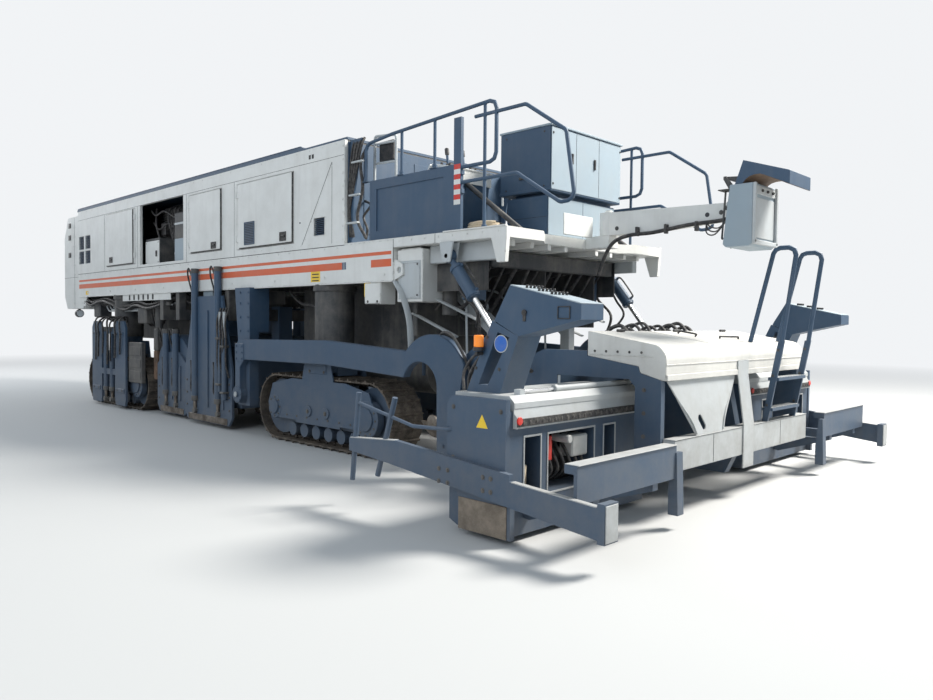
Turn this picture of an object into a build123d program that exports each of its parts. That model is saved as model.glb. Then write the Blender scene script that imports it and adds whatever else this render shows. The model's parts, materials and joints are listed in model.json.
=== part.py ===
"""Cold recycler on four steered crawlers, with two side-shifting rotors, auger and towed screed.

Millimetres. +X is forward, +Y is the machine's left, +Z is up.
The origin is on the ground, at the middle of the machine's length and width.
"""
from math import cos, hypot, pi, sin, tan
import os

from build123d import *

# Overall
HALF_WIDTH = 1500
FRONT_END = 7750
REAR_END = -7750
FIT = 0.3

# Main frame
FRAME_REAR = -3710
FRAME_FRONT = 6600
FRAME_BOTTOM = 2150
FRAME_TOP = 2620
BEAM_WIDTH = 240
CROSS_LENGTH = 240
CROSS_DROP = 60
DECK_PLATE = 20
EYE_REACH = 150
EYE_HEIGHT = 200
EYE_THICK = 40
EYE_BORE_R = 35

# Engine housing
HOUSING_REAR = -2770
HOUSING_TOP = 3930
WALL = 50
ROOF_THICK = 70
ROOF_INSET = 40
ROOF_STEP_X = -1800
ROOF_STEP = 30
ROOF_OVERHANG = 170
DOOR_GAP = 8
DOOR_THICK = 40
KNUCKLE_R = 12
KNUCKLE_HALF = 45
KNUCKLE_SHIFT = 4
LEAF_REACH = 70
SERVICE_DEPTH = 410

# Front housing
NOSE_HALF_WIDTH = 1400
NOSE_BOTTOM = 1900
NOSE_DROP = 40
NOSE_TOP = HOUSING_TOP - NOSE_DROP
NOSE_STEP_Z = NOSE_TOP - 440
NOSE_WALL = 60

# Crawlers: stations of the steering axes
CRAWLER_X = {"front": 4600, "rear": -2200}
CRAWLER_Y = 1230
TRACK_WIDTH = 500
TRACK_LENGTH = 3000
TRACK_HEIGHT = 950
TRACK_BAND = 70
LUG = 22
SHOES = 40
LEG_R = 200
LEG_CLEARANCE = 2
SLEEVE_R = 262
SLEEVE_BOTTOM = 1350
COLLAR_R = 240
COLLAR_HEIGHT = 90
COVER_THICK = 20
COVER_GAP = 6
SHIELD_GAP = 90
SHIELD_THICK = 40
SHIELD_TOP = 1640

# Rotor units: rear end, front end of each hood
ROTOR_UNITS = {"rear": (-60, 1540), "front": (1640, 2860)}
ROTOR_AXIS_Z = 650
ROTOR_TIP_R = 525
ROTOR_DRUM_R = 400
ROTOR_SHAFT_R = 90
UNIT_HALF_WIDTH = 1400
UNIT_PLATE = 45
UNIT_WALL = 45
UNIT_BOTTOM = 330
UNIT_TOP = 1420
GUARD_THICK = 40
GUARD_SPACE = 110
SHIFT_SIDE = {"rear": 1, "front": -1}
GUIDE_WIDTH = 140
GUIDE_HEIGHT = 180
GUIDE_Z = 1760
GUIDE_INSET = 300
SHOE_LENGTH = 240
SHOE_WALL = 50
SHOE_Y = 520
TOOLS_PER_TURN = 9
TOOL_ROWS = 20
TOOL_WIDTH = 60
TOOL_LENGTH = 110

# Mixer trough
MIXER_REAR = -3300
MIXER_FRONT = -850
MIXER_HALF_WIDTH = 560
MIXER_BOTTOM = 720
MIXER_TOP = 1560

# Platform
PLATFORM_REAR = -5460
PLATFORM_BOTTOM = 2530
PLATFORM_TOP = 2640
PANEL_Y = 1400
PANEL_THICK = 40
PANEL_REAR = -4620
PANEL_FRONT = -3170
PANEL_TOP = 3370
RAIL_R = 21
RAIL_Y = 1400
RAIL_TOP = 3960

# Tow arms and screed
TOW_X = -440
TOW_Z = 600
TOW_PIN_R = 45
ARM_Y = 1580
ARM_THICK = 100
TOWER_THICK = 150
TOWER_HALF_LENGTH = 170
SCREED_FRONT = -5080
SCREED_BACK = -6120
SCREED_SOLE = 50
SOLE_THICK = 60
SCREED_HALF_WIDTH = 1500
SCREED_TOP = 900
TOWER_TOP = 1300
CHEEK_THICK = 60
CHEEK_FRONT = -5660
CHEEK_BACK = -7215
CHEEK_TOP = 1420
CHEEK_LOW = 390
CHEEK_GAP = 4
WINDOW_TOP = 1185
WINDOW_BACK = -6960
KEEL_HALF_WIDTH = 50
KEEL_LOW = 200
KEEL_BACK = -7100
HOOD_WALL = 20
HOOD_FRONT = -6460
HOOD_FRONT_TOP = 1600
HOOD_BEND = -7150
HOOD_REAR_TOP = 1490
HOOD_BACK = -7257
HOOD_LIP = 1188
# Lower edge of the hood's sides from front to rear: X, Z
HOOD_SIDE_EDGE = ((-6460, 1375), (-6990, 1300), (-7008, 1245), (-7215, 1190))
TUBE_R = 55
TUBE_REACH = 1880
TUBE_PLACES = ((-6330, 860), (-6620, 220))

# Screed extensions
EXT_FRONT = -6160
EXT_BACK = -6790
EXT_INNER = 1070
EXT_OUTER = 2950
EXT_TOP = 1000
# Rear bays: distance of their two ends from the extension's outer end
EXT_BAYS = ((180, 370), (470, 1090), (1240, 1400))
BAY_DEPTH = 260
BAY_LOW = 330
BAY_TOP = 790
COVER_HEIGHT = 110
SLIDE_CYLINDER_R = 26
GATE_THICK = 50
GATE_TOP = 1090
BEAM_FRONT = -4960
BEAM_TAIL = -7650
TIP_THICK = 60
CONSOLE_INSET = 150
CONSOLE_WIDTH = 275
DESK_LOW = 1680

# Walkway, deflector and ladder behind the screed
WALK_TOP = 690
WALK_HEIGHT = 270
WALK_DEPTH = 110
WALK_GAP = 15
WALK_INNER_HALF = 1460
CENTRE_WALK_BACK = CHEEK_BACK - FIT - WALK_DEPTH
OUTER_WALK_BACK = CENTRE_WALK_BACK - WALK_DEPTH - WALK_GAP
BRACKET_TOP = 370
SHEET = 12
DEFLECTOR_TOP = (165, 1430)
DEFLECTOR_FOOT = (560, 1060)
STRAP_Y = (-75, 160)
STRAP_LOW = 290
LADDER_Y = (-1115, -415)
LADDER_R = 24
LADDER_TOP = 2440
STILE_HALF = 14

# Auger
AUGER_X = -4370
AUGER_Z = 560
AUGER_R = 210
AUGER_TUBE_R = 60
AUGER_INNER = 130
AUGER_OUTER = 1480
FLIGHT_TURNS = 3
FLIGHT_STEPS = 12
FLIGHT_END = 40
FLIGHT_THICK = 14

# Lift cylinders, from the frame's eye to the arm's eye
LIFT_TOP = (-4630, 2380)
LIFT_FOOT = (-5350, 1510)
LIFT_Y = 1480
BARREL_START = 150
BARREL_END = 590
BARREL_R = 70
ROD_R = 32
NECK_R = 34
LIFT_EYE_R = 75
LIFT_EYE_WIDTH = 70

# Boom with the remote console
BOOM_X = -5560
BOOM_Y = -150
BOOM_Z = 2810
BOOM_WIDTH = 150
BOOM_ROOT_HEIGHT = 260
BOOM_TIP_HEIGHT = 160
BOOM_TIP = -7080
CONSOLE_BACK = -7420
CONSOLE_TOP = 3080
CONSOLE_LOW = 2410
CONSOLE_Y = (-380, 260)


def block(x, y, z):
    """A box between (low, high) pairs."""
    low = (min(x), min(y), min(z))
    size = (abs(x[1] - x[0]), abs(y[1] - y[0]), abs(z[1] - z[0]))
    return Pos(*(a + s / 2 for a, s in zip(low, size))) * Box(*size)


def slab(face, y):
    """An X-Z face made thick between two Y values."""
    thick = extrude(face, amount=abs(y[1] - y[0]), dir=(0, 1, 0))
    return Pos(0, min(y), 0) * thick


def side_plate(points, y):
    """A plate with a straight-edged X-Z outline between two Y values."""
    corners = [Vector(px, 0, pz) for px, pz in points]
    return slab(make_face(Polyline(*corners, close=True)), y)


def rod(start, end, radius, sides=0):
    """A bar between two points, round or with a number of flat sides."""
    a, b = Vector(*start), Vector(*end)
    plane = Plane(origin=a, z_dir=(b - a).normalized())
    profile = RegularPolygon(radius, sides) if sides else Circle(radius)
    return extrude(plane * profile, amount=(b - a).length)


def across(x, z, y, radius, sides=0):
    """A bar along Y."""
    return rod((x, min(y), z), (x, max(y), z), radius, sides)


def upright(x, y, z, radius, sides=0):
    """A bar along Z."""
    return rod((x, y, min(z)), (x, y, max(z)), radius, sides)


def bent_tube(points, radius, bend):
    """An eight-sided tube along straight runs, each corner bent in three equal steps."""
    corners = [Vector(*p) for p in points]
    route = [corners[0]]
    for before, corner, after in zip(corners, corners[1:], corners[2:]):
        back, ahead = (before - corner).normalized(), (after - corner).normalized()
        half_turn = (180 - back.get_angle(ahead)) / 2 * pi / 180
        reach = bend * tan(half_turn)
        middle = corner + (back + ahead).normalized() * bend * (1 / cos(half_turn) - 1)
        route += [corner + back * reach, middle, corner + ahead * reach]
    route.append(corners[-1])
    path = Polyline(*route)
    start = Plane(origin=route[0], z_dir=(route[1] - route[0]).normalized())
    return sweep(start * RegularPolygon(radius, 8), path=path, transition=Transition.RIGHT)


def other_side(shape):
    """The same shape on the machine's right."""
    return mirror(shape, about=Plane.XZ)


def joined(parts):
    """Several solids fused into one."""
    return parts[0].fuse(*parts[1:]).clean()


def loose(parts):
    """Several solids kept apart in one node."""
    return Compound(children=[s for p in parts for s in p.solids()])


# Frame
def frame_beam():
    beam = block((FRAME_REAR, FRAME_FRONT), (HALF_WIDTH - BEAM_WIDTH, HALF_WIDTH), (FRAME_BOTTOM, FRAME_TOP))
    y = (HALF_WIDTH - EYE_THICK - 20, HALF_WIDTH - 20)
    low = FRAME_BOTTOM - EYE_HEIGHT
    rear = side_plate([(FRAME_REAR, FRAME_BOTTOM + 250), (FRAME_REAR - EYE_REACH, FRAME_BOTTOM + 180),
                       (FRAME_REAR - EYE_REACH, FRAME_BOTTOM + 60), (FRAME_REAR, FRAME_BOTTOM)], y)
    front = side_plate([(FRAME_FRONT - 420, FRAME_BOTTOM), (FRAME_FRONT - 360, low),
                        (FRAME_FRONT - 220, low), (FRAME_FRONT - 160, FRAME_BOTTOM)], y)
    beam = joined([beam, rear, front])
    for x, z in lashing_eyes():
        beam -= across(x, z, (y[0] - 10, y[1] + 10), EYE_BORE_R)
    return beam


def lashing_eyes():
    """X and Z of the eyes at the rear and at the front of a frame beam."""
    return ((FRAME_REAR - EYE_REACH + 65, FRAME_BOTTOM + 120), (FRAME_FRONT - 290, FRAME_BOTTOM - EYE_HEIGHT + 75))


def frame_crossmembers():
    inner = HALF_WIDTH - BEAM_WIDTH
    top = FRAME_TOP - DECK_PLATE
    stations = (FRAME_REAR + CROSS_LENGTH / 2, CRAWLER_X["rear"], -440, 1590, 3100, CRAWLER_X["front"],
                FRAME_FRONT - CROSS_LENGTH / 2)
    bars = []
    for x in stations:
        span = (x - CROSS_LENGTH / 2, x + CROSS_LENGTH / 2)
        bars.append(block(span, (-inner, inner), (FRAME_BOTTOM + CROSS_DROP, top)))
    return loose(bars)


def frame_deck():
    inner = HALF_WIDTH - BEAM_WIDTH
    return block((FRAME_REAR, FRAME_FRONT), (-inner, inner), (FRAME_TOP - DECK_PLATE, FRAME_TOP))


def leg_sleeves():
    """Round leg guides under the frame, one over each crawler."""
    sleeves = []
    for x in CRAWLER_X.values():
        for side in (1, -1):
            y = side * CRAWLER_Y
            sleeve = upright(x, y, (SLEEVE_BOTTOM, FRAME_BOTTOM), SLEEVE_R, 24)
            bore = upright(x, y, (SLEEVE_BOTTOM - 1, FRAME_BOTTOM - 120), LEG_R + LEG_CLEARANCE)
            sleeves.append(sleeve - bore)
    return loose(sleeves)


# Housing doors: name, rear edge, front edge, low edge, high edge, hinge edge
LEFT_DOORS = (
    ("door_left_1", 3630, 5000, FRAME_TOP + 80, HOUSING_TOP - 210, "rear"),
    ("door_left_3", 360, 1470, FRAME_TOP + 130, HOUSING_TOP - 230, "front"),
    ("door_left_4", -1630, -100, FRAME_TOP + 100, HOUSING_TOP - 240, "front"),
)
SERVICE_BAY = (1680, 3420, FRAME_TOP + 50, HOUSING_TOP - 190)
RIGHT_DOORS = (
    ("door_right_1", *LEFT_DOORS[0][1:5], "front"),
    ("door_right_2", *SERVICE_BAY, "front"),
    ("door_right_3", *LEFT_DOORS[1][1:]),
    ("door_right_4", *LEFT_DOORS[2][1:]),
)
# Side grilles: rear edge, front edge, low edge, high edge
GRILLES = ((5900, 6180, 2830, 3090), (5900, 6180, 3130, 3400), (6260, 6540, 2830, 3090), (6260, 6540, 3130, 3400))
VENT = (-2350, -2110, 2780, 3010)


def housing_side(openings):
    wall = block((HOUSING_REAR, FRAME_FRONT), (HALF_WIDTH - WALL, HALF_WIDTH), (FRAME_TOP, HOUSING_TOP))
    for x0, x1, z0, z1 in openings:
        wall -= block((x0, x1), (HALF_WIDTH - WALL - 1, HALF_WIDTH + 1), (z0, z1))
    return wall


def housing_side_left():
    return housing_side([d[1:5] for d in LEFT_DOORS] + [SERVICE_BAY, VENT, *GRILLES])


def housing_side_right():
    return other_side(housing_side([d[1:5] for d in RIGHT_DOORS] + [VENT, *GRILLES]))


def bulkhead(x):
    inner = HALF_WIDTH - WALL
    return block((x, x + WALL), (-inner, inner), (FRAME_TOP, HOUSING_TOP))


def housing_roof():
    """Long lid with a low step over the rear end and a lip past the front wall."""
    half = HALF_WIDTH - ROOF_INSET
    front = FRAME_FRONT + ROOF_OVERHANG
    top = HOUSING_TOP + ROOF_THICK
    edge = [(HOUSING_REAR, HOUSING_TOP), (front - 60, HOUSING_TOP), (front, HOUSING_TOP + 25), (front - 40, top),
            (ROOF_STEP_X + 60, top), (ROOF_STEP_X, top - ROOF_STEP), (HOUSING_REAR, top - ROOF_STEP)]
    return side_plate(edge, (-half, half))


def door(spec, side):
    """A door panel that fills its opening; its two hinge knuckles stand outside the wall."""
    _, x0, x1, z0, z1, hinge = spec
    panel = block((x0 + DOOR_GAP, x1 - DOOR_GAP), (HALF_WIDTH - DOOR_THICK, HALF_WIDTH),
                  (z0 + DOOR_GAP, z1 - DOOR_GAP))
    inward = 1 if hinge == "rear" else -1
    corner = x0 if hinge == "rear" else x1
    axis_x = corner - inward * KNUCKLE_SHIFT
    parts = [panel]
    for z in (z0 + 160, z1 - 160):
        span = (z - KNUCKLE_HALF, z + KNUCKLE_HALF)
        parts.append(upright(axis_x, HALF_WIDTH + FIT + KNUCKLE_R, span, KNUCKLE_R))
        parts.append(block((axis_x, corner + inward * LEAF_REACH), (HALF_WIDTH + FIT, HALF_WIDTH + KNUCKLE_R), span))
        parts.append(block((corner + inward * DOOR_GAP, corner + inward * LEAF_REACH),
                           (HALF_WIDTH - 5, HALF_WIDTH + KNUCKLE_R), span))
    panel = joined(parts)
    return panel if side > 0 else other_side(panel)


def engine_block():
    """Engine as one plain block, with the cooler behind the front grilles."""
    engine = block((3500, 5300), (-520, 520), (FRAME_TOP, HOUSING_TOP - 370))
    cooler = block((5850, FRAME_FRONT - WALL - 40), (-1300, 1300), (FRAME_TOP, HOUSING_TOP - 450))
    return loose([engine, cooler])


def service_bay():
    """Back wall and floor of the open bay, with its tank, low cupboard and hose shelf."""
    x0, x1, z0, z1 = SERVICE_BAY
    outer = HALF_WIDTH - WALL
    inner = outer - SERVICE_DEPTH
    back = block((x0, x1), (inner - DOOR_THICK, inner), (FRAME_TOP, z1))
    floor = block((x0, x1), (inner, outer), (FRAME_TOP, z0 - 20))
    tank = block((x0, x0 + 560), (inner, outer - 60), (z0 - 20, z1 - 240))
    cupboard = block((x1 - 640, x1 - 40), (inner, outer - 40), (z0 - 20, z0 + 460))
    return joined([back, floor, tank, cupboard])


def front_housing():
    """Hollow box with a sloped top edge and a tucked-in lower front edge."""
    def ring(grow):
        low, top = NOSE_BOTTOM - grow, NOSE_TOP + grow
        return [(FRAME_FRONT, low), (FRONT_END - 160 + grow, low), (FRONT_END + grow, NOSE_BOTTOM + 260),
                (FRONT_END + grow, NOSE_STEP_Z), (FRONT_END - 230 + grow, top), (FRAME_FRONT, top)]
    shell = side_plate(ring(0), (-NOSE_HALF_WIDTH, NOSE_HALF_WIDTH))
    core = side_plate(ring(-NOSE_WALL), (-NOSE_HALF_WIDTH + NOSE_WALL, NOSE_HALF_WIDTH - NOSE_WALL))
    return shell - core


def towing_clevis():
    """Two ears under the front housing, with a cross bore."""
    x = (FRONT_END - 620, FRONT_END - 260)
    ears = [side_plate([(x[0], NOSE_BOTTOM), (x[0] + 90, NOSE_BOTTOM - 230), (x[1] - 60, NOSE_BOTTOM - 230),
                        (x[1], NOSE_BOTTOM)], y) for y in ((-95, -45), (45, 95))]
    bridge = block(x, (-120, 120), (NOSE_BOTTOM - 40, NOSE_BOTTOM))
    clevis = joined([bridge, *ears])
    return clevis - across(x[1] - 180, NOSE_BOTTOM - 150, (-120, 120), EYE_BORE_R)


# Crawlers
def loop_place(run, radius):
    """X, Z and outward angle at a distance along the track's loop, from the middle of the bottom run."""
    straight = TRACK_LENGTH - TRACK_HEIGHT
    pitch_r = TRACK_HEIGHT / 2
    bend = pi * pitch_r
    run = run % (2 * straight + 2 * bend)
    if run < straight / 2:
        return run, -radius, -pi / 2
    run -= straight / 2
    if run < bend:
        turn = -pi / 2 + run / pitch_r
        return straight / 2 + radius * cos(turn), radius * sin(turn), turn
    run -= bend
    if run < straight:
        return straight / 2 - run, radius, pi / 2
    run -= straight
    if run < bend:
        turn = pi / 2 + run / pitch_r
        return -straight / 2 + radius * cos(turn), radius * sin(turn), turn
    run -= bend
    return -straight / 2 + run, -radius, -pi / 2


def track(x, side):
    """One closed band with a lug on every shoe."""
    outer_r = TRACK_HEIGHT / 2 - LUG
    loop = 2 * (TRACK_LENGTH - TRACK_HEIGHT) + 2 * pi * TRACK_HEIGHT / 2
    step = loop / SHOES
    corners = []
    for shoe in range(SHOES):
        for part, rise in ((-0.30, 0), (-0.20, LUG), (0.20, LUG), (0.30, 0)):
            px, pz, _ = loop_place((shoe + 0.5 + part) * step, outer_r + rise)
            corners.append((x + px, TRACK_HEIGHT / 2 + pz))
    y0 = side * (CRAWLER_Y - TRACK_WIDTH / 2)
    y1 = side * (CRAWLER_Y + TRACK_WIDTH / 2)
    return side_plate(corners, (y0, y1)) - stadium(x, outer_r - TRACK_BAND, (y0 - side, y1 + side))


def stadium(x, radius, y):
    """The filled loop shape at a radius."""
    half = (TRACK_LENGTH - TRACK_HEIGHT) / 2
    z = TRACK_HEIGHT / 2
    core = block((x - half, x + half), y, (z - radius, z + radius))
    return joined([core, across(x - half, z, y, radius), across(x + half, z, y, radius)])


def crawler_frame(x, side):
    """Track frame with idler, drive wheel, rollers, side cover, yoke and leg."""
    half = (TRACK_LENGTH - TRACK_HEIGHT) / 2
    axis_z = TRACK_HEIGHT / 2
    inner_r = TRACK_HEIGHT / 2 - LUG - TRACK_BAND
    centre = side * CRAWLER_Y
    outer = side * (CRAWLER_Y + TRACK_WIDTH / 2)

    def wide(fraction):
        return centre - TRACK_WIDTH / 2 * fraction, centre + TRACK_WIDTH / 2 * fraction

    beam = block((x - half + 260, x + half - 260), wide(0.7), (axis_z - 200, axis_z + 190))
    parts = [beam]
    for place, radius in ((x - half, inner_r - FIT), (x + half, inner_r - FIT)):
        parts.append(across(place, axis_z, wide(0.55), radius, 24))
        arm = block((min(place, x), max(place, x)), wide(0.75), (axis_z - 90, axis_z + 90))
        parts.append(arm)
    roller_r = 95
    count = 6
    for i in range(count):
        place = x - half + 330 + i * (2 * half - 660) / (count - 1)
        parts.append(across(place, axis_z - inner_r + FIT + roller_r, wide(0.8), roller_r, 10))
    yoke_top = SLEEVE_BOTTOM - FIT - COLLAR_HEIGHT
    yoke = side_plate([(x - 420, axis_z), (x + 420, axis_z), (x + 230, yoke_top), (x - 230, yoke_top)], wide(0.6))
    slot = block((x - half, x + half), wide(1.2), (axis_z + inner_r - FIT, TRACK_HEIGHT + 12))
    saddle = [side_plate([(x - 500, 300), (x + 500, 300), (x + 260, yoke_top), (x - 260, yoke_top)], y)
              for y in ((outer + side * COVER_GAP, outer + side * (COVER_GAP + COVER_THICK)),
                        (side * (CRAWLER_Y - TRACK_WIDTH / 2) - side * COVER_GAP,
                         side * (CRAWLER_Y - TRACK_WIDTH / 2) - side * (COVER_GAP + COVER_THICK)))]
    cheeks = block((x - 260, x + 260), (saddle_inner(side), saddle_outer(side)), (TRACK_HEIGHT + 60, yoke_top))
    pins = [across(place, axis_z, (saddle_inner(side), saddle_outer(side)), 60, 12) for place in (x - 200, x + 200)]
    parts += [yoke - slot, cheeks, *saddle, *pins]
    parts.append(upright(x, centre, (yoke_top - 40, SLEEVE_BOTTOM - FIT), COLLAR_R))
    parts.append(upright(x, centre, (SLEEVE_BOTTOM - FIT, FRAME_BOTTOM - 260), LEG_R))
    cover = side_plate([(x - half + 60, 330), (x + half - 60, 330), (x + half + 180, 520), (x + half + 60, 800),
                        (x + half - 420, TRACK_HEIGHT - 60), (x - half + 420, TRACK_HEIGHT - 60),
                        (x - half - 60, 800), (x - half - 180, 520)],
                       (outer + side * COVER_GAP, outer + side * (COVER_GAP + COVER_THICK)))
    parts.append(cover)
    return joined(parts)


def saddle_outer(side):
    return side * (CRAWLER_Y + TRACK_WIDTH / 2 + COVER_GAP + COVER_THICK)


def saddle_inner(side):
    return side * (CRAWLER_Y - TRACK_WIDTH / 2 - COVER_GAP - COVER_THICK)


def crawler_shield(side):
    """Two upright panels outside a front crawler, joined by rails, with their cylinders between."""
    x = CRAWLER_X["front"]
    face = saddle_outer(side)
    near = face + side * SHIELD_GAP
    far = near + side * SHIELD_THICK
    parts = []
    for x0, x1 in ((x - 830, x - 330), (x + 330, x + 830)):
        parts.append(side_plate([(x0 + 30, 60), (x1 - 30, 60), (x1, 160), (x1, SHIELD_TOP - 120),
                                 (x1 - 90, SHIELD_TOP), (x0 + 90, SHIELD_TOP), (x0, SHIELD_TOP - 120), (x0, 160)],
                                (near, far)))
        parts.append(block((x0 + 160, x0 + 340), (face, near), (560, 740)))
    for z in (620, 1400):
        parts.append(block((x - 340, x + 340), (near, far), (z, z + 110)))
    for dx in (-150, 150):
        parts.append(upright(x + dx, (near + far) / 2, (300, 1500), 48, 12))
    return joined(parts)


# Rotor units
def unit_guides():
    """Cross bars on which the rotor units shift sideways, hung from the frame."""
    reach = HALF_WIDTH - 20
    bars = []
    for x0, x1 in ROTOR_UNITS.values():
        for x in guide_places(x0, x1):
            span = (x - GUIDE_WIDTH / 2, x + GUIDE_WIDTH / 2)
            bar = block(span, (-reach, reach), (GUIDE_Z - GUIDE_HEIGHT / 2, GUIDE_Z + GUIDE_HEIGHT / 2))
            posts = [block(span, (y - 60, y + 60), (GUIDE_Z, FRAME_BOTTOM)) for y in (-reach + 60, reach - 60)]
            bars.append(joined([bar, *posts]))
    return loose(bars)


def guide_places(x0, x1):
    return x0 + GUIDE_INSET, x1 - GUIDE_INSET


def unit_centre(name):
    x0, x1 = ROTOR_UNITS[name]
    return (x0 + x1) / 2


def rotor_hood(name):
    """Arched hood, open below, with end plates that carry the rotor and shoes that ride on the guide bars."""
    x0, x1 = ROTOR_UNITS[name]
    xc = unit_centre(name)
    half = UNIT_HALF_WIDTH - UNIT_PLATE

    def arch(inset):
        low, shoulder, top = UNIT_BOTTOM, UNIT_TOP - 380, UNIT_TOP - inset
        a, b = x0 + inset, x1 - inset
        foot = Polyline((a, 0, shoulder), (a, 0, low), (b, 0, low), (b, 0, shoulder))
        crown = ThreePointArc((b, 0, shoulder), (xc, 0, top), (a, 0, shoulder))
        return make_face(foot + crown)

    hood = slab(arch(0), (-half, half)) - slab(arch(UNIT_WALL), (-half - 1, half + 1))
    hood -= block((x0 + UNIT_WALL, x1 - UNIT_WALL), (-half - 1, half + 1), (UNIT_BOTTOM - 1, UNIT_BOTTOM + UNIT_WALL))
    parts = [hood]
    for side in (1, -1):
        parts.append(slab(arch(0), (side * half, side * UNIT_HALF_WIDTH)))
    for x in guide_places(x0, x1):
        for y in (-SHOE_Y, SHOE_Y):
            span = (y - SHOE_LENGTH / 2, y + SHOE_LENGTH / 2)
            wide = GUIDE_WIDTH / 2 + FIT + SHOE_WALL
            tall = GUIDE_HEIGHT / 2 + FIT + SHOE_WALL
            shoe = block((x - wide, x + wide), span, (UNIT_TOP - 320, GUIDE_Z + tall))
            parts.append(shoe)
    body = joined(parts)
    for x in guide_places(x0, x1):
        w, h = GUIDE_WIDTH / 2 + FIT, GUIDE_HEIGHT / 2 + FIT
        body -= block((x - w, x + w), (-UNIT_HALF_WIDTH, UNIT_HALF_WIDTH), (GUIDE_Z - h, GUIDE_Z + h))
    body -= slab(arch(UNIT_WALL), (-half, half))
    return body - across(xc, ROTOR_AXIS_Z, (-UNIT_HALF_WIDTH - 1, UNIT_HALF_WIDTH + 1), ROTOR_SHAFT_R + FIT)


def rotor(name):
    """Drum with tool holders set along a double helix from both ends to the middle."""
    xc = unit_centre(name)
    half = UNIT_HALF_WIDTH - UNIT_PLATE - 40
    parts = [across(xc, ROTOR_AXIS_Z, (-half, half), ROTOR_DRUM_R),
             across(xc, ROTOR_AXIS_Z, (-UNIT_HALF_WIDTH + 5, UNIT_HALF_WIDTH - 5), ROTOR_SHAFT_R)]
    reach = ROTOR_TIP_R - ROTOR_DRUM_R
    tool = Pos(ROTOR_DRUM_R + reach / 2 - 15, 0, 0) * Box(reach + 30, TOOL_WIDTH, TOOL_LENGTH)
    spacing = (half - TOOL_WIDTH) / TOOL_ROWS
    for row in range(TOOL_ROWS):
        for side in (1, -1):
            turn = row * 360 / TOOLS_PER_TURN + (180 if side < 0 else 0)
            y = side * (half - TOOL_WIDTH / 2 - row * spacing)
            parts.append(Pos(xc, y, ROTOR_AXIS_Z) * Rot(0, turn, 0) * tool)
    return joined(parts)


def edge_guard(name, side):
    """Side plate of a rotor unit with its cylinders: tall and outside the frame on the side it shifts to."""
    x0, x1 = ROTOR_UNITS[name]
    tall = side == SHIFT_SIDE[name]
    near = UNIT_HALF_WIDTH + (GUARD_SPACE if tall else 0)
    far = near + GUARD_THICK
    top, rod_top = (2050, 2480) if tall else (1120, 1500)
    plate = side_plate([(x0 + 120, 60), (x1 - 120, 60), (x1 - 20, 190), (x1 - 20, 900), (x1 - 330, top),
                        (x0 + 330, top), (x0 + 20, 900), (x0 + 20, 190)], (side * near, side * far))
    parts = [plate]
    for x in (x0 + 420, x1 - 420):
        parts.append(upright(x, side * (far + 20), (380, rod_top), 55, 12))
        if tall:
            parts.append(block((x - 90, x + 90), (side * UNIT_HALF_WIDTH, side * near), (560, 900)))
    return joined(parts)


# Mixer
def mixer_trough():
    """Twin-shaft trough with two round bottoms, hung between the rear crawlers."""
    y = MIXER_HALF_WIDTH / 2
    half_length = (MIXER_REAR, MIXER_FRONT)
    radius = MIXER_HALF_WIDTH / 2
    parts = [block(half_length, (-MIXER_HALF_WIDTH, MIXER_HALF_WIDTH), (MIXER_BOTTOM + radius, MIXER_TOP))]
    for side in (1, -1):
        parts.append(rod((MIXER_REAR, side * y, MIXER_BOTTOM + radius),
                         (MIXER_FRONT, side * y, MIXER_BOTTOM + radius), radius))
    for x in (MIXER_REAR + 300, MIXER_FRONT - 300):
        for side in (1, -1):
            parts.append(block((x - 60, x + 60), (side * 380, side * 500), (MIXER_TOP - 20, FRAME_TOP - DECK_PLATE)))
    return joined(parts)


# Platform
def platform():
    """Operator floor behind the housing, with a deep white edge and corner brackets."""
    inner = HALF_WIDTH
    front = block((FRAME_REAR, HOUSING_REAR), (-inner, inner), (FRAME_TOP, PLATFORM_TOP))
    plan = Polyline((FRAME_REAR, HALF_WIDTH), (PLATFORM_REAR, HALF_WIDTH), (PLATFORM_REAR, 900),
                    (PLATFORM_REAR + 150, 700), (PLATFORM_REAR + 150, -700), (PLATFORM_REAR, -900),
                    (PLATFORM_REAR, -HALF_WIDTH), (FRAME_REAR, -HALF_WIDTH), close=True)
    floor = Pos(0, 0, PLATFORM_BOTTOM) * extrude(make_face(plan), amount=PLATFORM_TOP - PLATFORM_BOTTOM)
    brackets = []
    for side in (1, -1):
        y = (side * (HALF_WIDTH - 60), side * HALF_WIDTH)
        brackets.append(side_plate([(PLATFORM_REAR, PLATFORM_BOTTOM), (PLATFORM_REAR + 210, PLATFORM_BOTTOM),
                                    (PLATFORM_REAR + 130, PLATFORM_BOTTOM - 250),
                                    (PLATFORM_REAR + 20, PLATFORM_BOTTOM - 250)], y))
    return joined([front, floor, *brackets])


def platform_braces():
    """Pale struts from the frame's rear crossmember down to the auger and lift eyes under the floor."""
    parts = []
    for side in (1, -1):
        parts.append(block((PLATFORM_REAR + 260, -4170), (side * 1240, side * 1340), (2330, PLATFORM_BOTTOM)))
        eye_x, eye_z = LIFT_TOP
        for y in (lift_fork(side)):
            parts.append(side_plate([(eye_x - 110, PLATFORM_BOTTOM), (eye_x + 110, PLATFORM_BOTTOM),
                                     (eye_x + 60, eye_z - 70), (eye_x - 60, eye_z - 70)], y))
        parts.append(across(eye_x, eye_z, (lift_fork(side)[0][0], lift_fork(side)[1][1]), 30))
    return loose(parts)


def lift_fork(side):
    """Y spans of a lift cylinder's fork: inner plate, outer plate."""
    near = LIFT_Y - LIFT_EYE_WIDTH / 2 - FIT
    far = LIFT_Y + LIFT_EYE_WIDTH / 2 + FIT
    spans = (near - 20, near), (far, far + 20)
    return tuple((side * a, side * b) for a, b in spans)


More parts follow.
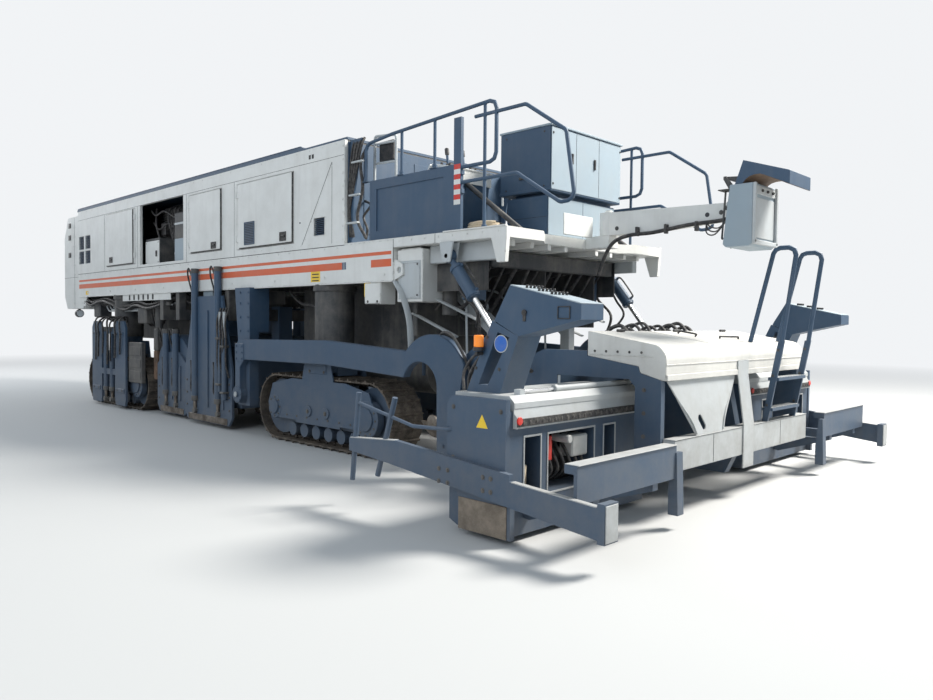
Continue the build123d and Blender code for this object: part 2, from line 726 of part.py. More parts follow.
def side_panel(side):
    y = (side * (PANEL_Y - PANEL_THICK / 2), side * (PANEL_Y + PANEL_THICK / 2))
    panel = block((PANEL_REAR, PANEL_FRONT), y, (PLATFORM_TOP, PANEL_TOP))
    face = (side * (PANEL_Y + PANEL_THICK / 2 - 12), side * (PANEL_Y + PANEL_THICK / 2 + 1))
    panel -= block((PANEL_REAR + 160, PANEL_FRONT - 130), face, (PLATFORM_TOP + 120, PANEL_TOP - 110))
    post = block((PANEL_REAR - 110, PANEL_REAR), y, (PLATFORM_TOP, RAIL_TOP - 95))
    return [panel, post]


def railing(side):
    """Hooped rails over the side panel and the sloped hand loop behind the platform."""
    y = side * RAIL_Y
    front = PANEL_FRONT + 100
    hoop = bent_tube([(front, y, PANEL_TOP), (front, y, RAIL_TOP - 130), (front - 500, y, RAIL_TOP - 80),
                      (PANEL_REAR - 600, y, RAIL_TOP), (PANEL_REAR - 600, y, PANEL_TOP - 40),
                      (PANEL_REAR - 90, y, PANEL_TOP - 40)], RAIL_R, 90)
    high, low = RAIL_TOP - 130, PLATFORM_TOP + 190
    loop = bent_tube([(PANEL_REAR - 300, y, high), (PLATFORM_REAR - 150, y, high), (PLATFORM_REAR - 650, y, high - 340),
                      (PLATFORM_REAR - 760, y, low), (PLATFORM_REAR - 590, y, low - 10),
                      (PLATFORM_REAR - 40, y, PANEL_TOP - 200), (PANEL_REAR - 90, y, PANEL_TOP - 200)],
                     RAIL_R - 1, 70)
    parts = [hoop, loop]
    for x, low, high in ((PANEL_FRONT - 570, PANEL_TOP, RAIL_TOP - 60), (PANEL_REAR + 320, PANEL_TOP, RAIL_TOP - 40),
                         (PLATFORM_REAR + 400, PLATFORM_TOP, RAIL_TOP - 10)):
        parts.append(upright(x, y, (low, high), RAIL_R - 3, 8))
    return parts


def operator_desk(side):
    """Pedestal with a sloped top and two levers."""
    y = (side * 620, side * 1180)
    base = side_plate([(-4300, PLATFORM_TOP), (-3960, PLATFORM_TOP), (-3900, 3300), (-4020, 3470),
                       (-4420, 3390), (-4420, 3330)], y)
    levers = [rod((x, side * ly, 3380), (x + 40, side * ly, 3640), 16) for x, ly in ((-4180, 800), (-4120, 1000))]
    return joined([base, *levers])


def cabinet():
    """Two stacked lockers with a shadow gap between them."""
    lower = block((-5200, -4600), (-800, 520), (PLATFORM_TOP, 3100))
    neck = block((-5140, -4660), (-720, 440), (3100, 3140))
    upper = block((-5250, -4510), (-850, 540), (3140, 3870))
    return joined([lower, neck, upper])


def service_boxes():
    """Boxes under the frame's rear end, left and right."""
    parts = []
    for side in (1, -1):
        front = block((-3480, -3170), (side * 1260, side * 1490), (1880, FRAME_BOTTOM))
        tapered = side_plate([(-4160, 1900), (-3720, 1900), (-3720, 2500), (-4160, 2500)],
                             (side * 1000, side * 1440))
        parts += [front, tapered]
    return loose(parts)


# Tow arms
def tow_tower(side):
    """Guide post under the frame that carries the tow pin."""
    outer = side * (ARM_Y - FIT)
    inner = side * (ARM_Y - FIT - TOWER_THICK)
    x = TOW_X
    post = side_plate([(x - TOWER_HALF_LENGTH, 430), (x + TOWER_HALF_LENGTH, 430),
                       (x + TOWER_HALF_LENGTH, 1400), (x + TOWER_HALF_LENGTH + 90, FRAME_BOTTOM),
                       (x - TOWER_HALF_LENGTH, FRAME_BOTTOM)], (inner, outer))
    hanger = block((x - TOWER_HALF_LENGTH, x + TOWER_HALF_LENGTH), (side * (HALF_WIDTH - BEAM_WIDTH), inner),
                   (1500, FRAME_BOTTOM))
    pin = across(x, TOW_Z, (outer, side * (ARM_Y + ARM_THICK + 30)), TOW_PIN_R)
    return joined([post, hanger, pin])


def tow_arm(side):
    """Bent arm over the rear crawler with a hump over the auger's end."""
    x = TOW_X
    top = Polyline((x + 70, 0, 470), (x + 70, 0, 1300), (x - 40, 0, 1400), (-2610, 0, 1430), (-4150, 0, 1345))
    hump = ThreePointArc((-4150, 0, 1345), (-4720, 0, 1515), (-5060, 0, 1230))
    leg = Polyline((-5060, 0, 1230), (-4940, 0, 570), (-4940, 0, 560), (-6100, 0, 560), (-6100, 0, 180),
                   (-4660, 0, 180), (-4650, 0, 950))
    arch = ThreePointArc((-4650, 0, 950), (-4450, 0, 1225), (-4120, 0, 1050))
    under = Polyline((-4120, 0, 1050), (-2610, 0, 1125), (x - 190, 0, 1110), (x - 70, 0, 1000),
                     (x - 70, 0, 470), (x + 70, 0, 470))
    y = (side * ARM_Y, side * (ARM_Y + ARM_THICK))
    arm = slab(make_face(top + hump + leg + arch + under), y)
    boss = across(x, TOW_Z, y, 110)
    tail = block((SCREED_BACK + 100, SCREED_FRONT - 100), (side * SCREED_HALF_WIDTH, side * ARM_Y), (200, 540))
    arm = joined([arm, boss, tail])
    arm -= across(x, TOW_Z, (y[0] - side, y[1] + side), TOW_PIN_R + FIT)
    return joined([arm, *lift_brackets(side)])


def lift_brackets(side):
    """Fork plates on the arm's hump for the lift cylinder's rod eye."""
    foot_x, foot_z = LIFT_FOOT
    inner, outer = lift_fork(side)
    plates = []
    for span in (inner, outer):
        plates.append(side_plate([(foot_x - 70, foot_z + 60), (foot_x + 70, foot_z + 60), (-4900, 1300),
                                  (-5000, 1000), (foot_x - 70, foot_z - 80)], span))
    bridge = block((-5010, -4900), (inner[0], side * (ARM_Y + 20)), (1040, 1240))
    return [*plates, bridge]


# Screed, centre section
def hood_roof(x):
    """Height of the hood's sloped roof at a place along the machine."""
    fall = (HOOD_FRONT_TOP - HOOD_REAR_TOP) / (HOOD_FRONT - HOOD_BEND)
    return HOOD_FRONT_TOP - (HOOD_FRONT - x) * fall


def screed_frame():
    """Sole, box with sloped front, two cheeks with a window, middle keel and the extensions' guide tubes."""
    half = SCREED_HALF_WIDTH
    sole_top = SCREED_SOLE + SOLE_THICK
    body = side_plate([(SCREED_FRONT, sole_top), (SCREED_FRONT, 420), (SCREED_FRONT - 160, SCREED_TOP),
                       (SCREED_BACK, SCREED_TOP), (SCREED_BACK, sole_top)], (-half, half))
    sole = side_plate([(SCREED_FRONT + 60, SCREED_SOLE + 50), (SCREED_FRONT + 60, sole_top),
                       (SCREED_BACK, sole_top), (SCREED_BACK, SCREED_SOLE), (SCREED_FRONT - 60, SCREED_SOLE)],
                      (-half, half))
    tower = block((SCREED_BACK, CHEEK_FRONT), (-half, half), (SCREED_TOP, TOWER_TOP))
    front = HOOD_FRONT - HOOD_WALL - 5
    keel = side_plate([(SCREED_BACK, KEEL_LOW), (SCREED_BACK, TOWER_TOP), (front, TOWER_TOP),
                       (front, hood_roof(front) - HOOD_WALL - FIT),
                       (HOOD_BEND, hood_roof(HOOD_BEND) - HOOD_WALL - FIT), (KEEL_BACK, HOOD_LIP),
                       (CHEEK_BACK, WALK_TOP - 60), (CHEEK_BACK, WALK_TOP - WALK_HEIGHT + 20),
                       (KEEL_BACK, KEEL_LOW)], (-KEEL_HALF_WIDTH, KEEL_HALF_WIDTH))
    parts = [body, sole, tower, keel]
    for side in (1, -1):
        parts.append(screed_cheek(side))
    for x, z in TUBE_PLACES:
        parts.append(across(x, z, (-TUBE_REACH, TUBE_REACH), TUBE_R))
    return joined(parts)


def screed_cheek(side):
    """Side sheet that carries the hood, cut out where the extension slides through."""
    y = (side * (SCREED_HALF_WIDTH - CHEEK_THICK), side * SCREED_HALF_WIDTH)
    top = [(x, z - FIT) for x, z in HOOD_SIDE_EDGE]
    sheet = side_plate([(CHEEK_FRONT, SCREED_TOP), (CHEEK_FRONT, TOWER_TOP), (CHEEK_FRONT - 300, CHEEK_TOP),
                        (HOOD_FRONT + CHEEK_GAP, CHEEK_TOP), (HOOD_FRONT + CHEEK_GAP, top[0][1]), *top,
                        (CHEEK_BACK, CHEEK_LOW), (SCREED_BACK, CHEEK_LOW), (SCREED_BACK, SCREED_TOP)], y)
    window = side_plate([(SCREED_BACK, CHEEK_LOW - 1), (SCREED_BACK, WINDOW_TOP), (WINDOW_BACK + 60, WINDOW_TOP),
                         (WINDOW_BACK, WINDOW_TOP - 60), (WINDOW_BACK, CHEEK_LOW - 1)], (y[0] - side, y[1] + side))
    return sheet - window


def screed_hood():
    """Off-white sheet cover, open below, rounded down at its rear edge."""
    roof = Polyline((HOOD_FRONT, 0, HOOD_SIDE_EDGE[0][1]), (HOOD_FRONT, 0, HOOD_FRONT_TOP),
                    (HOOD_BEND, 0, HOOD_REAR_TOP))
    bend = ThreePointArc((HOOD_BEND, 0, HOOD_REAR_TOP), (HOOD_BACK + 28, 0, HOOD_REAR_TOP - 55),
                         (HOOD_BACK, 0, HOOD_REAR_TOP - 150))
    low = Polyline((HOOD_BACK, 0, HOOD_REAR_TOP - 150), (HOOD_BACK, 0, HOOD_LIP),
                   *[(x, 0, z) for x, z in reversed(HOOD_SIDE_EDGE)])
    half = SCREED_HALF_WIDTH
    shell = slab(make_face(roof + bend + low), (-half, half))
    front, back = HOOD_FRONT - HOOD_WALL, HOOD_BACK + HOOD_WALL
    core = side_plate([(front, HOOD_LIP - 1), (front, hood_roof(front) - HOOD_WALL),
                       (HOOD_BEND, HOOD_REAR_TOP - HOOD_WALL), (back + 24, HOOD_REAR_TOP - 75),
                       (back, HOOD_REAR_TOP - 150), (back, HOOD_LIP - 1)], (-half + HOOD_WALL, half - HOOD_WALL))
    return shell - core


def screed_deflector():
    """Pale sheet that hangs inside the hood's rear edge, narrower at its foot, and a folded strap beside it."""
    inner = HOOD_BACK + HOOD_WALL + FIT
    foot = CENTRE_WALK_BACK + 7
    low = WALK_TOP + FIT
    sheet = side_plate([(inner, HOOD_LIP + 40), (inner, HOOD_LIP - 5), (foot, low), (foot + SHEET, low),
                        (inner + SHEET, HOOD_LIP - 3), (inner + SHEET, HOOD_LIP + 40)],
                       (DEFLECTOR_TOP[0], DEFLECTOR_TOP[1]))
    outline = Polyline((DEFLECTOR_TOP[0], HOOD_LIP + 40), (DEFLECTOR_TOP[0], HOOD_LIP - 10), (DEFLECTOR_FOOT[0], low),
                       (DEFLECTOR_FOOT[1], low), (DEFLECTOR_TOP[1], HOOD_LIP - 10), (DEFLECTOR_TOP[1], HOOD_LIP + 40),
                       close=True)
    facing = Plane(origin=(foot - 50, 0, 0), x_dir=(0, 1, 0), z_dir=(1, 0, 0))
    mask = extrude(facing * make_face(outline), amount=300)
    hole = extrude(facing * Pos(930, 800) * Rot(0, 0, 55) * SlotOverall(150, 62), amount=300)
    behind = CENTRE_WALK_BACK - FIT
    strap = side_plate([(HOOD_BACK - FIT, HOOD_LIP + 140), (HOOD_BACK - FIT - SHEET, HOOD_LIP + 140),
                        (HOOD_BACK - FIT - SHEET, HOOD_LIP),
                        (behind - SHEET, WALK_TOP + 12), (behind - SHEET, STRAP_LOW), (behind, STRAP_LOW),
                        (behind, WALK_TOP + 8), (HOOD_BACK - FIT, HOOD_LIP - 2)], STRAP_Y)
    return loose([(sheet & mask) - hole, strap])


def walkway(y0, y1, back):
    """Stepped board across the rear, with a pale tread and a folded lower lip."""
    low = WALK_TOP - WALK_HEIGHT
    profile = [(back, low), (back, WALK_TOP), (back + WALK_DEPTH, WALK_TOP),
               (back + WALK_DEPTH, WALK_TOP - 60), (back + 30, WALK_TOP - 60), (back + 30, low + 30),
               (back + 70, low + 30), (back + 70, low)]
    return side_plate(profile, (y0, y1))


def walkway_centre():
    return walkway(-WALK_INNER_HALF, WALK_INNER_HALF, CENTRE_WALK_BACK)


def screed_ladder():
    """Two hooped handrails on flat stiles with two rungs, from the centre board up over the hood."""
    parts = []
    foot, bend = CENTRE_WALK_BACK + 25, CENTRE_WALK_BACK - 125
    low, knee = WALK_TOP + FIT, WALK_TOP + 820
    landing = HOOD_BEND + 20
    for y in LADDER_Y:
        parts.append(side_plate([(foot - 30, low), (foot + 30, low), (bend + 30, knee), (bend - 30, knee)],
                                (y - STILE_HALF, y + STILE_HALF)))
        parts.append(bent_tube([(bend, y, knee - 40), (bend - 130, y, LADDER_TOP), (bend + 90, y, LADDER_TOP),
                                (landing, y, hood_roof(landing) + LADDER_R / 10)], LADDER_R, 70))
    for rise in (110, 420):
        x = foot + (bend - foot) * rise / (knee - low)
        parts.append(block((x - 55, x + 55), LADDER_Y, (low + rise, low + rise + 30)))
    return joined(parts)


# Screed extensions
def extension_box(side):
    """Extension with its sole, three open rear bays and bores that run on the guide tubes."""
    y = (side * EXT_INNER, side * EXT_OUTER)
    sole_top = SCREED_SOLE + SOLE_THICK
    body = block((EXT_BACK, EXT_FRONT), y, (sole_top, EXT_TOP))
    for near, far in EXT_BAYS:
        body -= block((EXT_BACK - 1, EXT_BACK + BAY_DEPTH), (side * (EXT_OUTER - near), side * (EXT_OUTER - far)),
                      (BAY_LOW, BAY_TOP))
    sole = side_plate([(EXT_FRONT, SCREED_SOLE + 40), (EXT_FRONT, sole_top), (EXT_BACK, sole_top),
                       (EXT_BACK, SCREED_SOLE), (EXT_FRONT - 90, SCREED_SOLE)], y)
    body = joined([body, sole])
    for x, z in TUBE_PLACES:
        body -= across(x, z, (side * (EXT_INNER - 1), side * (EXT_OUTER - 20)), TUBE_R + FIT)
    return body


def extension_cover(side):
    """Ribbed pale cover over the extension's rear edge, with the sliding cylinder on top."""
    y = (side * (EXT_INNER + 80), side * (EXT_OUTER - 40))
    back, low, top = EXT_BACK - FIT, EXT_TOP + FIT, EXT_TOP + COVER_HEIGHT
    profile = [(back - 40, low - 130), (back - 40, low - 45), (back - 12, low - 15), (back - 12, top - 45),
               (back + 50, top), (EXT_FRONT - 20, top), (EXT_FRONT - 20, low), (back, low), (back, low - 130)]
    cylinder = across(EXT_BACK + 90, top + SLIDE_CYLINDER_R - 4, (side * (EXT_INNER + 120), side * (EXT_OUTER - 650)),
                      SLIDE_CYLINDER_R)
    slider = across(EXT_BACK + 90, top + SLIDE_CYLINDER_R - 4, (side * (EXT_OUTER - 660), side * (EXT_OUTER - 200)), 14)
    block_end = block((EXT_BACK + 60, EXT_BACK + 120), (side * (EXT_OUTER - 250), side * (EXT_OUTER - 190)),
                      (top - 5, top + SLIDE_CYLINDER_R + 16))
    return joined([side_plate(profile, y), cylinder, slider, block_end])


def extension_walkway(side):
    """Rear board of an extension with its brackets and one low foot."""
    board = walkway(side * (WALK_INNER_HALF + 190), side * (EXT_OUTER + GATE_THICK - FIT), OUTER_WALK_BACK)
    parts = [board]
    back = OUTER_WALK_BACK
    for y in (EXT_OUTER - 1050, EXT_OUTER - 250):
        parts.append(side_plate([(EXT_BACK, 180), (EXT_BACK, BRACKET_TOP), (back + 105, BRACKET_TOP),
                                 (back + 60, WALK_TOP - WALK_HEIGHT + 10), (back + 20, WALK_TOP - WALK_HEIGHT + 10),
                                 (back + 20, BRACKET_TOP - 10), (EXT_BACK - 60, 170)], (side * y, side * (y + 80))))
    near = WALK_INNER_HALF + 110
    parts.append(side_plate([(back - 12, WALK_TOP - 60), (back + 30, WALK_TOP - 60),
                             (back + 60, 330), (back + 60, 120), (back - 30, 120)], (side * near, side * (near + 100))))
    return joined(parts)


def end_gate(side):
    """Upright end plate and the long bent side beam with its front posts."""
    near, far = side * EXT_OUTER, side * (EXT_OUTER + GATE_THICK)
    plate = side_plate([(EXT_FRONT - 20, 480), (EXT_FRONT - 20, GATE_TOP - 60), (EXT_FRONT - 80, GATE_TOP),
                        (EXT_BACK - 10, GATE_TOP), (EXT_BACK - 10, 350), (EXT_BACK - 60, 320),
                        (EXT_BACK - 60, SCREED_SOLE), (EXT_FRONT - 240, SCREED_SOLE), (EXT_FRONT - 140, 130),
                        (EXT_FRONT - 140, 480)], (near, far))
    out = side * (EXT_OUTER + 2 * GATE_THICK)
    joint = EXT_BACK - 90
    beam = side_plate([(BEAM_FRONT, 500), (BEAM_FRONT, 615), (BEAM_FRONT - 640, 660), (joint, 555), (joint, 505),
                       (BEAM_TAIL, 452), (BEAM_TAIL, 234), (joint, 320), (BEAM_FRONT - 600, 450)], (far, out))
    tip = side_plate([(BEAM_TAIL, 210), (BEAM_TAIL - TIP_THICK, 210), (BEAM_TAIL - TIP_THICK, 480), (BEAM_TAIL, 480)],
                     (side * (EXT_OUTER - 60), out))
    middle = (far + out) / 2
    parts = [plate, beam, tip]
    for foot, low, head, high in ((-20, 230, -110, 1030), (-380, 320, -610, 1020)):
        parts.append(rod((BEAM_FRONT + foot, middle, low), (BEAM_FRONT + head, middle, high), 24, 8))
    parts.append(bent_tube([(BEAM_FRONT - 100, middle, 940), (BEAM_FRONT - 840, middle, 800),
                            (EXT_FRONT - 20, middle, 815), (EXT_FRONT - 90, (far + near) / 2, 820)], 16, 60))
    return joined(parts)


def screed_console(side):
    """Leaning pair of plates with a wedge-shaped desk on top."""
    y = (side * (EXT_OUTER - CONSOLE_INSET - CONSOLE_WIDTH), side * (EXT_OUTER - CONSOLE_INSET))
    foot, knee = EXT_FRONT - 40, EXT_FRONT - 310
    seat = EXT_TOP + COVER_HEIGHT + FIT
    post = side_plate([(foot, seat), (foot - 360, seat), (knee - 270, DESK_LOW - 120), (knee, DESK_LOW)], y)
    gap = side_plate([(foot - 130, seat + 60), (foot - 230, seat + 60), (knee - 180, DESK_LOW - 130),
                      (knee - 60, DESK_LOW - 90)], (y[0] - side, y[1] + side))
    desk = side_plate([(knee - 20, DESK_LOW), (knee - 270, DESK_LOW - 120), (knee - 850, DESK_LOW + 10),
                       (knee - 850, DESK_LOW + 120), (knee - 180, DESK_LOW + 270)], y)
    return joined([post - gap, desk])


# Auger
def auger(side):
    """One half of the auger: a tube with a screw flight as a ruled helicoid."""
    y0, y1 = AUGER_INNER, AUGER_OUTER
    tube = across(AUGER_X, AUGER_Z, (side * y0, side * y1), AUGER_TUBE_R)
    pitch = (y1 - y0 - 2 * FLIGHT_END) / FLIGHT_TURNS
    root = AUGER_TUBE_R - 6
    centre = Vector(AUGER_X, 0, AUGER_Z)
    sections = []
    for step in range(FLIGHT_TURNS * FLIGHT_STEPS + 1):
        angle = 2 * pi * step / FLIGHT_STEPS
        outward = Vector(cos(angle), 0, sin(angle))
        run = y0 + FLIGHT_END + pitch * step / FLIGHT_STEPS
        corners = [centre + outward * reach + Vector(0, side * (run + thick), 0)
                   for reach, thick in ((root, -FLIGHT_THICK / 2), (AUGER_R, -FLIGHT_THICK / 2),
                                        (AUGER_R, FLIGHT_THICK / 2), (root, FLIGHT_THICK / 2))]
        sections.append(make_face(Polyline(*corners, close=True)))
    return joined([tube, loft(sections, ruled=True)])


def auger_carrier():
    """Gearbox in the middle, hung on two pale beams from the frame's rear end."""
    box = block((AUGER_X - 170, AUGER_X + 170), (-AUGER_INNER + FIT, AUGER_INNER - FIT), (AUGER_Z - 190, AUGER_Z + 420))
    parts = [box]
    for side in (1, -1):
        beam = side_plate([(FRAME_REAR, 2150), (FRAME_REAR, 2300), (-3780, 2300), (AUGER_X - 300, 1620),
                           (AUGER_X - 300, 1500), (AUGER_X - 200, 1500)], (side * 620, side * 740))
        parts.append(beam)
        parts.append(block((AUGER_X - 300, AUGER_X - 160), (side * 620, side * 740), (AUGER_Z + 300, 1620)))
    parts.append(block((AUGER_X - 300, AUGER_X - 160), (-740, 740), (AUGER_Z + 300, AUGER_Z + 420)))
    return joined(parts)


# Lift cylinders
def lift_direction():
    dx, dz = LIFT_FOOT[0] - LIFT_TOP[0], LIFT_FOOT[1] - LIFT_TOP[1]
    length = hypot(dx, dz)
    return dx / length, dz / length, length


def lift_barrel(side):
    ux, uz, _ = lift_direction()
    x, z = LIFT_TOP
    y = side * LIFT_Y

    def at(run):
        return x + ux * run, y, z + uz * run

    half = LIFT_EYE_WIDTH / 2
    eye = across(x, z, (y - half, y + half), LIFT_EYE_R)
    neck = rod(at(0), at(BARREL_START + 10), NECK_R, 8)
    barrel = joined([eye, neck, rod(at(BARREL_START), at(BARREL_END), BARREL_R)])
    barrel -= rod(at(BARREL_START + 30), at(BARREL_END + 1), ROD_R + FIT)
    return barrel - across(x, z, (y - half - 1, y + half + 1), 30 + FIT)


def lift_rod(side):
    ux, uz, length = lift_direction()
    x, z = LIFT_TOP
    y = side * LIFT_Y
    start = BARREL_END - 30

    def at(run):
        return x + ux * run, y, z + uz * run

    half = LIFT_EYE_WIDTH / 2
    return joined([rod(at(start), at(length), ROD_R), across(*LIFT_FOOT, (y - half, y + half), LIFT_EYE_R - 15)])


# Boom
def boom_pedestal():
    """Bracket and round post at the platform's rear edge."""
    arm = block((BOOM_X - 70, PLATFORM_REAR + 150), (BOOM_Y - 90, BOOM_Y + 90), (PLATFORM_BOTTOM, BOOM_Z - 140 - FIT))
    return joined([arm, upright(BOOM_X, BOOM_Y, (BOOM_Z - 220, BOOM_Z + 150), 40)])


def boom_arm():
    """Tapered box arm with a hub round its post."""
    y = (BOOM_Y - BOOM_WIDTH / 2, BOOM_Y + BOOM_WIDTH / 2)
    root_low = BOOM_Z - 140
    arm = side_plate([(BOOM_X + 70, root_low), (BOOM_X + 70, root_low + BOOM_ROOT_HEIGHT),
                      (BOOM_TIP, root_low + 60 + BOOM_TIP_HEIGHT), (BOOM_TIP, root_low + 60),
                      (BOOM_X - 600, root_low)], y)
    hub = upright(BOOM_X, BOOM_Y, (root_low, root_low + BOOM_ROOT_HEIGHT), 95)
    return joined([arm, hub]) - upright(BOOM_X, BOOM_Y, (root_low - 1, BOOM_Z + 150 + FIT), 40 + FIT)


def console_box():
    """Hanging control box at the boom's end."""
    return side_plate([(BOOM_TIP, CONSOLE_LOW + 30), (BOOM_TIP, CONSOLE_TOP), (CONSOLE_BACK + 60, CONSOLE_TOP),
                       (CONSOLE_BACK, CONSOLE_TOP - 40),
                       (CONSOLE_BACK, CONSOLE_LOW + 30), (CONSOLE_BACK + 30, CONSOLE_LOW),
                       (BOOM_TIP - 30, CONSOLE_LOW)], CONSOLE_Y)


def console_lid():
    """Dark hood with a beak that lies on the box and lifts at its front edge."""
    seat = CONSOLE_TOP + FIT
    back = REAR_END
    return side_plate([(BOOM_TIP - 40, seat), (BOOM_TIP - 40, seat + 90), (BOOM_TIP - 220, seat + 150),
                       (CONSOLE_BACK - 120, seat + 110), (back, seat + 40), (back, seat), (CONSOLE_BACK, seat)],
                      (CONSOLE_Y[0] + 10, CONSOLE_Y[1] - 10))


def build():
    """Every node by name."""
    nodes = {
        "frame_beams": loose([frame_beam(), other_side(frame_beam())]),
        "underframe": loose([frame_crossmembers(), leg_sleeves(), unit_guides()]),
        "frame_deck": frame_deck(),
        "housing_side_left": housing_side_left(),
        "housing_side_right": housing_side_right(),
        "housing_bulkheads": loose([bulkhead(HOUSING_REAR), bulkhead(FRAME_FRONT - WALL)]),
        "housing_roof": housing_roof(),
        "engine_block": engine_block(),
        "service_bay": service_bay(),
        "front_housing": front_housing(),
        "towing_clevis": towing_clevis(),
        "mixer_trough": mixer_trough(),
        "platform": joined([platform(), boom_pedestal()]),
        "platform_braces": platform_braces(),
        "operator_desks": loose([operator_desk(1), operator_desk(-1)]),
        "cabinet": cabinet(),
        "service_boxes": service_boxes(),
        "auger_carrier": auger_carrier(),
        "screed_frame": screed_frame(),
        "screed_hood": screed_hood(),
        "screed_deflector": screed_deflector(),
        "walkway_centre": walkway_centre(),
        "screed_ladder": screed_ladder(),
        "boom_arm": boom_arm(),
        "console_box": console_box(),
        "console_lid": console_lid(),
    }
    for spec in LEFT_DOORS:
        nodes[spec[0]] = door(spec, 1)
    for spec in RIGHT_DOORS:
        nodes[spec[0]] = door(spec, -1)
    for end, x in CRAWLER_X.items():
        for hand, side in (("left", 1), ("right", -1)):
            frame = crawler_frame(x, side)
            if end == "front":
                frame = joined([frame, crawler_shield(side)])
            nodes[f"crawler_{end}_{hand}"] = frame
            nodes[f"track_{end}_{hand}"] = track(x, side)
    for unit in ROTOR_UNITS:
        nodes[f"rotor_hood_{unit}"] = joined([rotor_hood(unit), edge_guard(unit, 1), edge_guard(unit, -1)])
        nodes[f"rotor_{unit}"] = rotor(unit)
    for hand, side in (("left", 1), ("right", -1)):
        nodes[f"extension_{hand}"] = joined([extension_box(side), extension_walkway(side)])
        nodes[f"extension_top_{hand}"] = extension_cover(side)
        nodes[f"end_gate_{hand}"] = joined([end_gate(side), screed_console(side)])
        nodes[f"auger_{hand}"] = auger(side)
        nodes[f"platform_side_{hand}"] = joined([*side_panel(side), *railing(side)])
    nodes["tow_towers"] = loose([tow_tower(1), tow_tower(-1)])
    nodes["tow_arms"] = loose([tow_arm(1), tow_arm(-1)])
    nodes["lift_barrels"] = loose([lift_barrel(1), lift_barrel(-1)])
    nodes["lift_rods"] = loose([lift_rod(1), lift_rod(-1)])
    return nodes


if __name__ == "__main__":
    os.makedirs("parts", exist_ok=True)
    for node, shape in build().items():
        export_step(shape, f"parts/{node}.step")
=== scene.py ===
"""Looks of the cold recycler: camera, light, materials, softened panels and small fitted parts.

Metres. +X is forward, +Y is the machine's left, +Z is up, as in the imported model.
"""
import json
from math import cos, pi, radians, sin

import bmesh
import bpy
from mathutils import Matrix, Vector

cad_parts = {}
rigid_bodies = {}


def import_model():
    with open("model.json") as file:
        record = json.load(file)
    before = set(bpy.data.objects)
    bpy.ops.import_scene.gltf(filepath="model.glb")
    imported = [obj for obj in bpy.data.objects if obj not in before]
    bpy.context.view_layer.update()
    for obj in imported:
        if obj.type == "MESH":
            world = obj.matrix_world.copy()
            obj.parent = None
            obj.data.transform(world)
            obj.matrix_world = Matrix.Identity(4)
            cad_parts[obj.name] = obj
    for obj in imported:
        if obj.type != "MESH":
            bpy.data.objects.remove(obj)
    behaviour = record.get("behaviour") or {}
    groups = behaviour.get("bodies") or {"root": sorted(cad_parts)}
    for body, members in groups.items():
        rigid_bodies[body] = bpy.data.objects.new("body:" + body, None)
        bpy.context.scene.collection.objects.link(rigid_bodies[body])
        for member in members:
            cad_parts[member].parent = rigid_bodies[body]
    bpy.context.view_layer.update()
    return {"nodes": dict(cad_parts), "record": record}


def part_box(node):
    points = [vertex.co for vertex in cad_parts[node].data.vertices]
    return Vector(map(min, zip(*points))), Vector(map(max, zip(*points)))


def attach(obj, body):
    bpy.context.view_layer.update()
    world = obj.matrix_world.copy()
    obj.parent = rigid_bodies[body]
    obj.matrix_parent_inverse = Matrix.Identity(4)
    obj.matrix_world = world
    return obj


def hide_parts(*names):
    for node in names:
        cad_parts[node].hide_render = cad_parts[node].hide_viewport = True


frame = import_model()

scene = bpy.context.scene
scene.view_settings.view_transform = "Standard"


# Camera: where the photograph was taken from
CAMERA_AT = (-10.459, 7.161, 1.65)
CAMERA_TURN = 45.62
CAMERA_DIP = 1.97
CAMERA_ROLL = 0.56
CAMERA_LENS = 29.04


def add_camera():
    turn, dip, roll = radians(CAMERA_TURN), radians(CAMERA_DIP), radians(CAMERA_ROLL)
    ahead = Vector((cos(turn) * cos(dip), -sin(turn) * cos(dip), -sin(dip)))
    right = Vector((-sin(turn), -cos(turn), 0))
    up = right.cross(ahead)
    side = cos(roll) * right + sin(roll) * up
    top = cos(roll) * up - sin(roll) * right
    data = bpy.data.cameras.new("camera")
    data.lens = CAMERA_LENS
    data.sensor_width = 36
    data.clip_end = 300
    camera = bpy.data.objects.new("camera", data)
    camera.matrix_world = Matrix.Translation(CAMERA_AT) @ Matrix((side, top, -ahead)).transposed().to_4x4()
    scene.collection.objects.link(camera)
    scene.camera = camera


# Light: a large soft key from the rear right, as the photograph's shadows ask, and a weak fill
LAMPS = (
    # name, place, size, power, colour
    ("key", (-13.0, -9.0, 15.0), 6.0, 7900, (1.0, 0.97, 0.92)),
    ("fill", (-6.0, 16.0, 9.0), 12.0, 800, (0.86, 0.92, 1.0)),
    ("front", (18.0, 2.0, 9.0), 9.0, 1100, (0.95, 0.97, 1.0)),
)
SKY_STRENGTH = 0.52
SKY_COLOR = (0.74, 0.87, 1.0, 1)


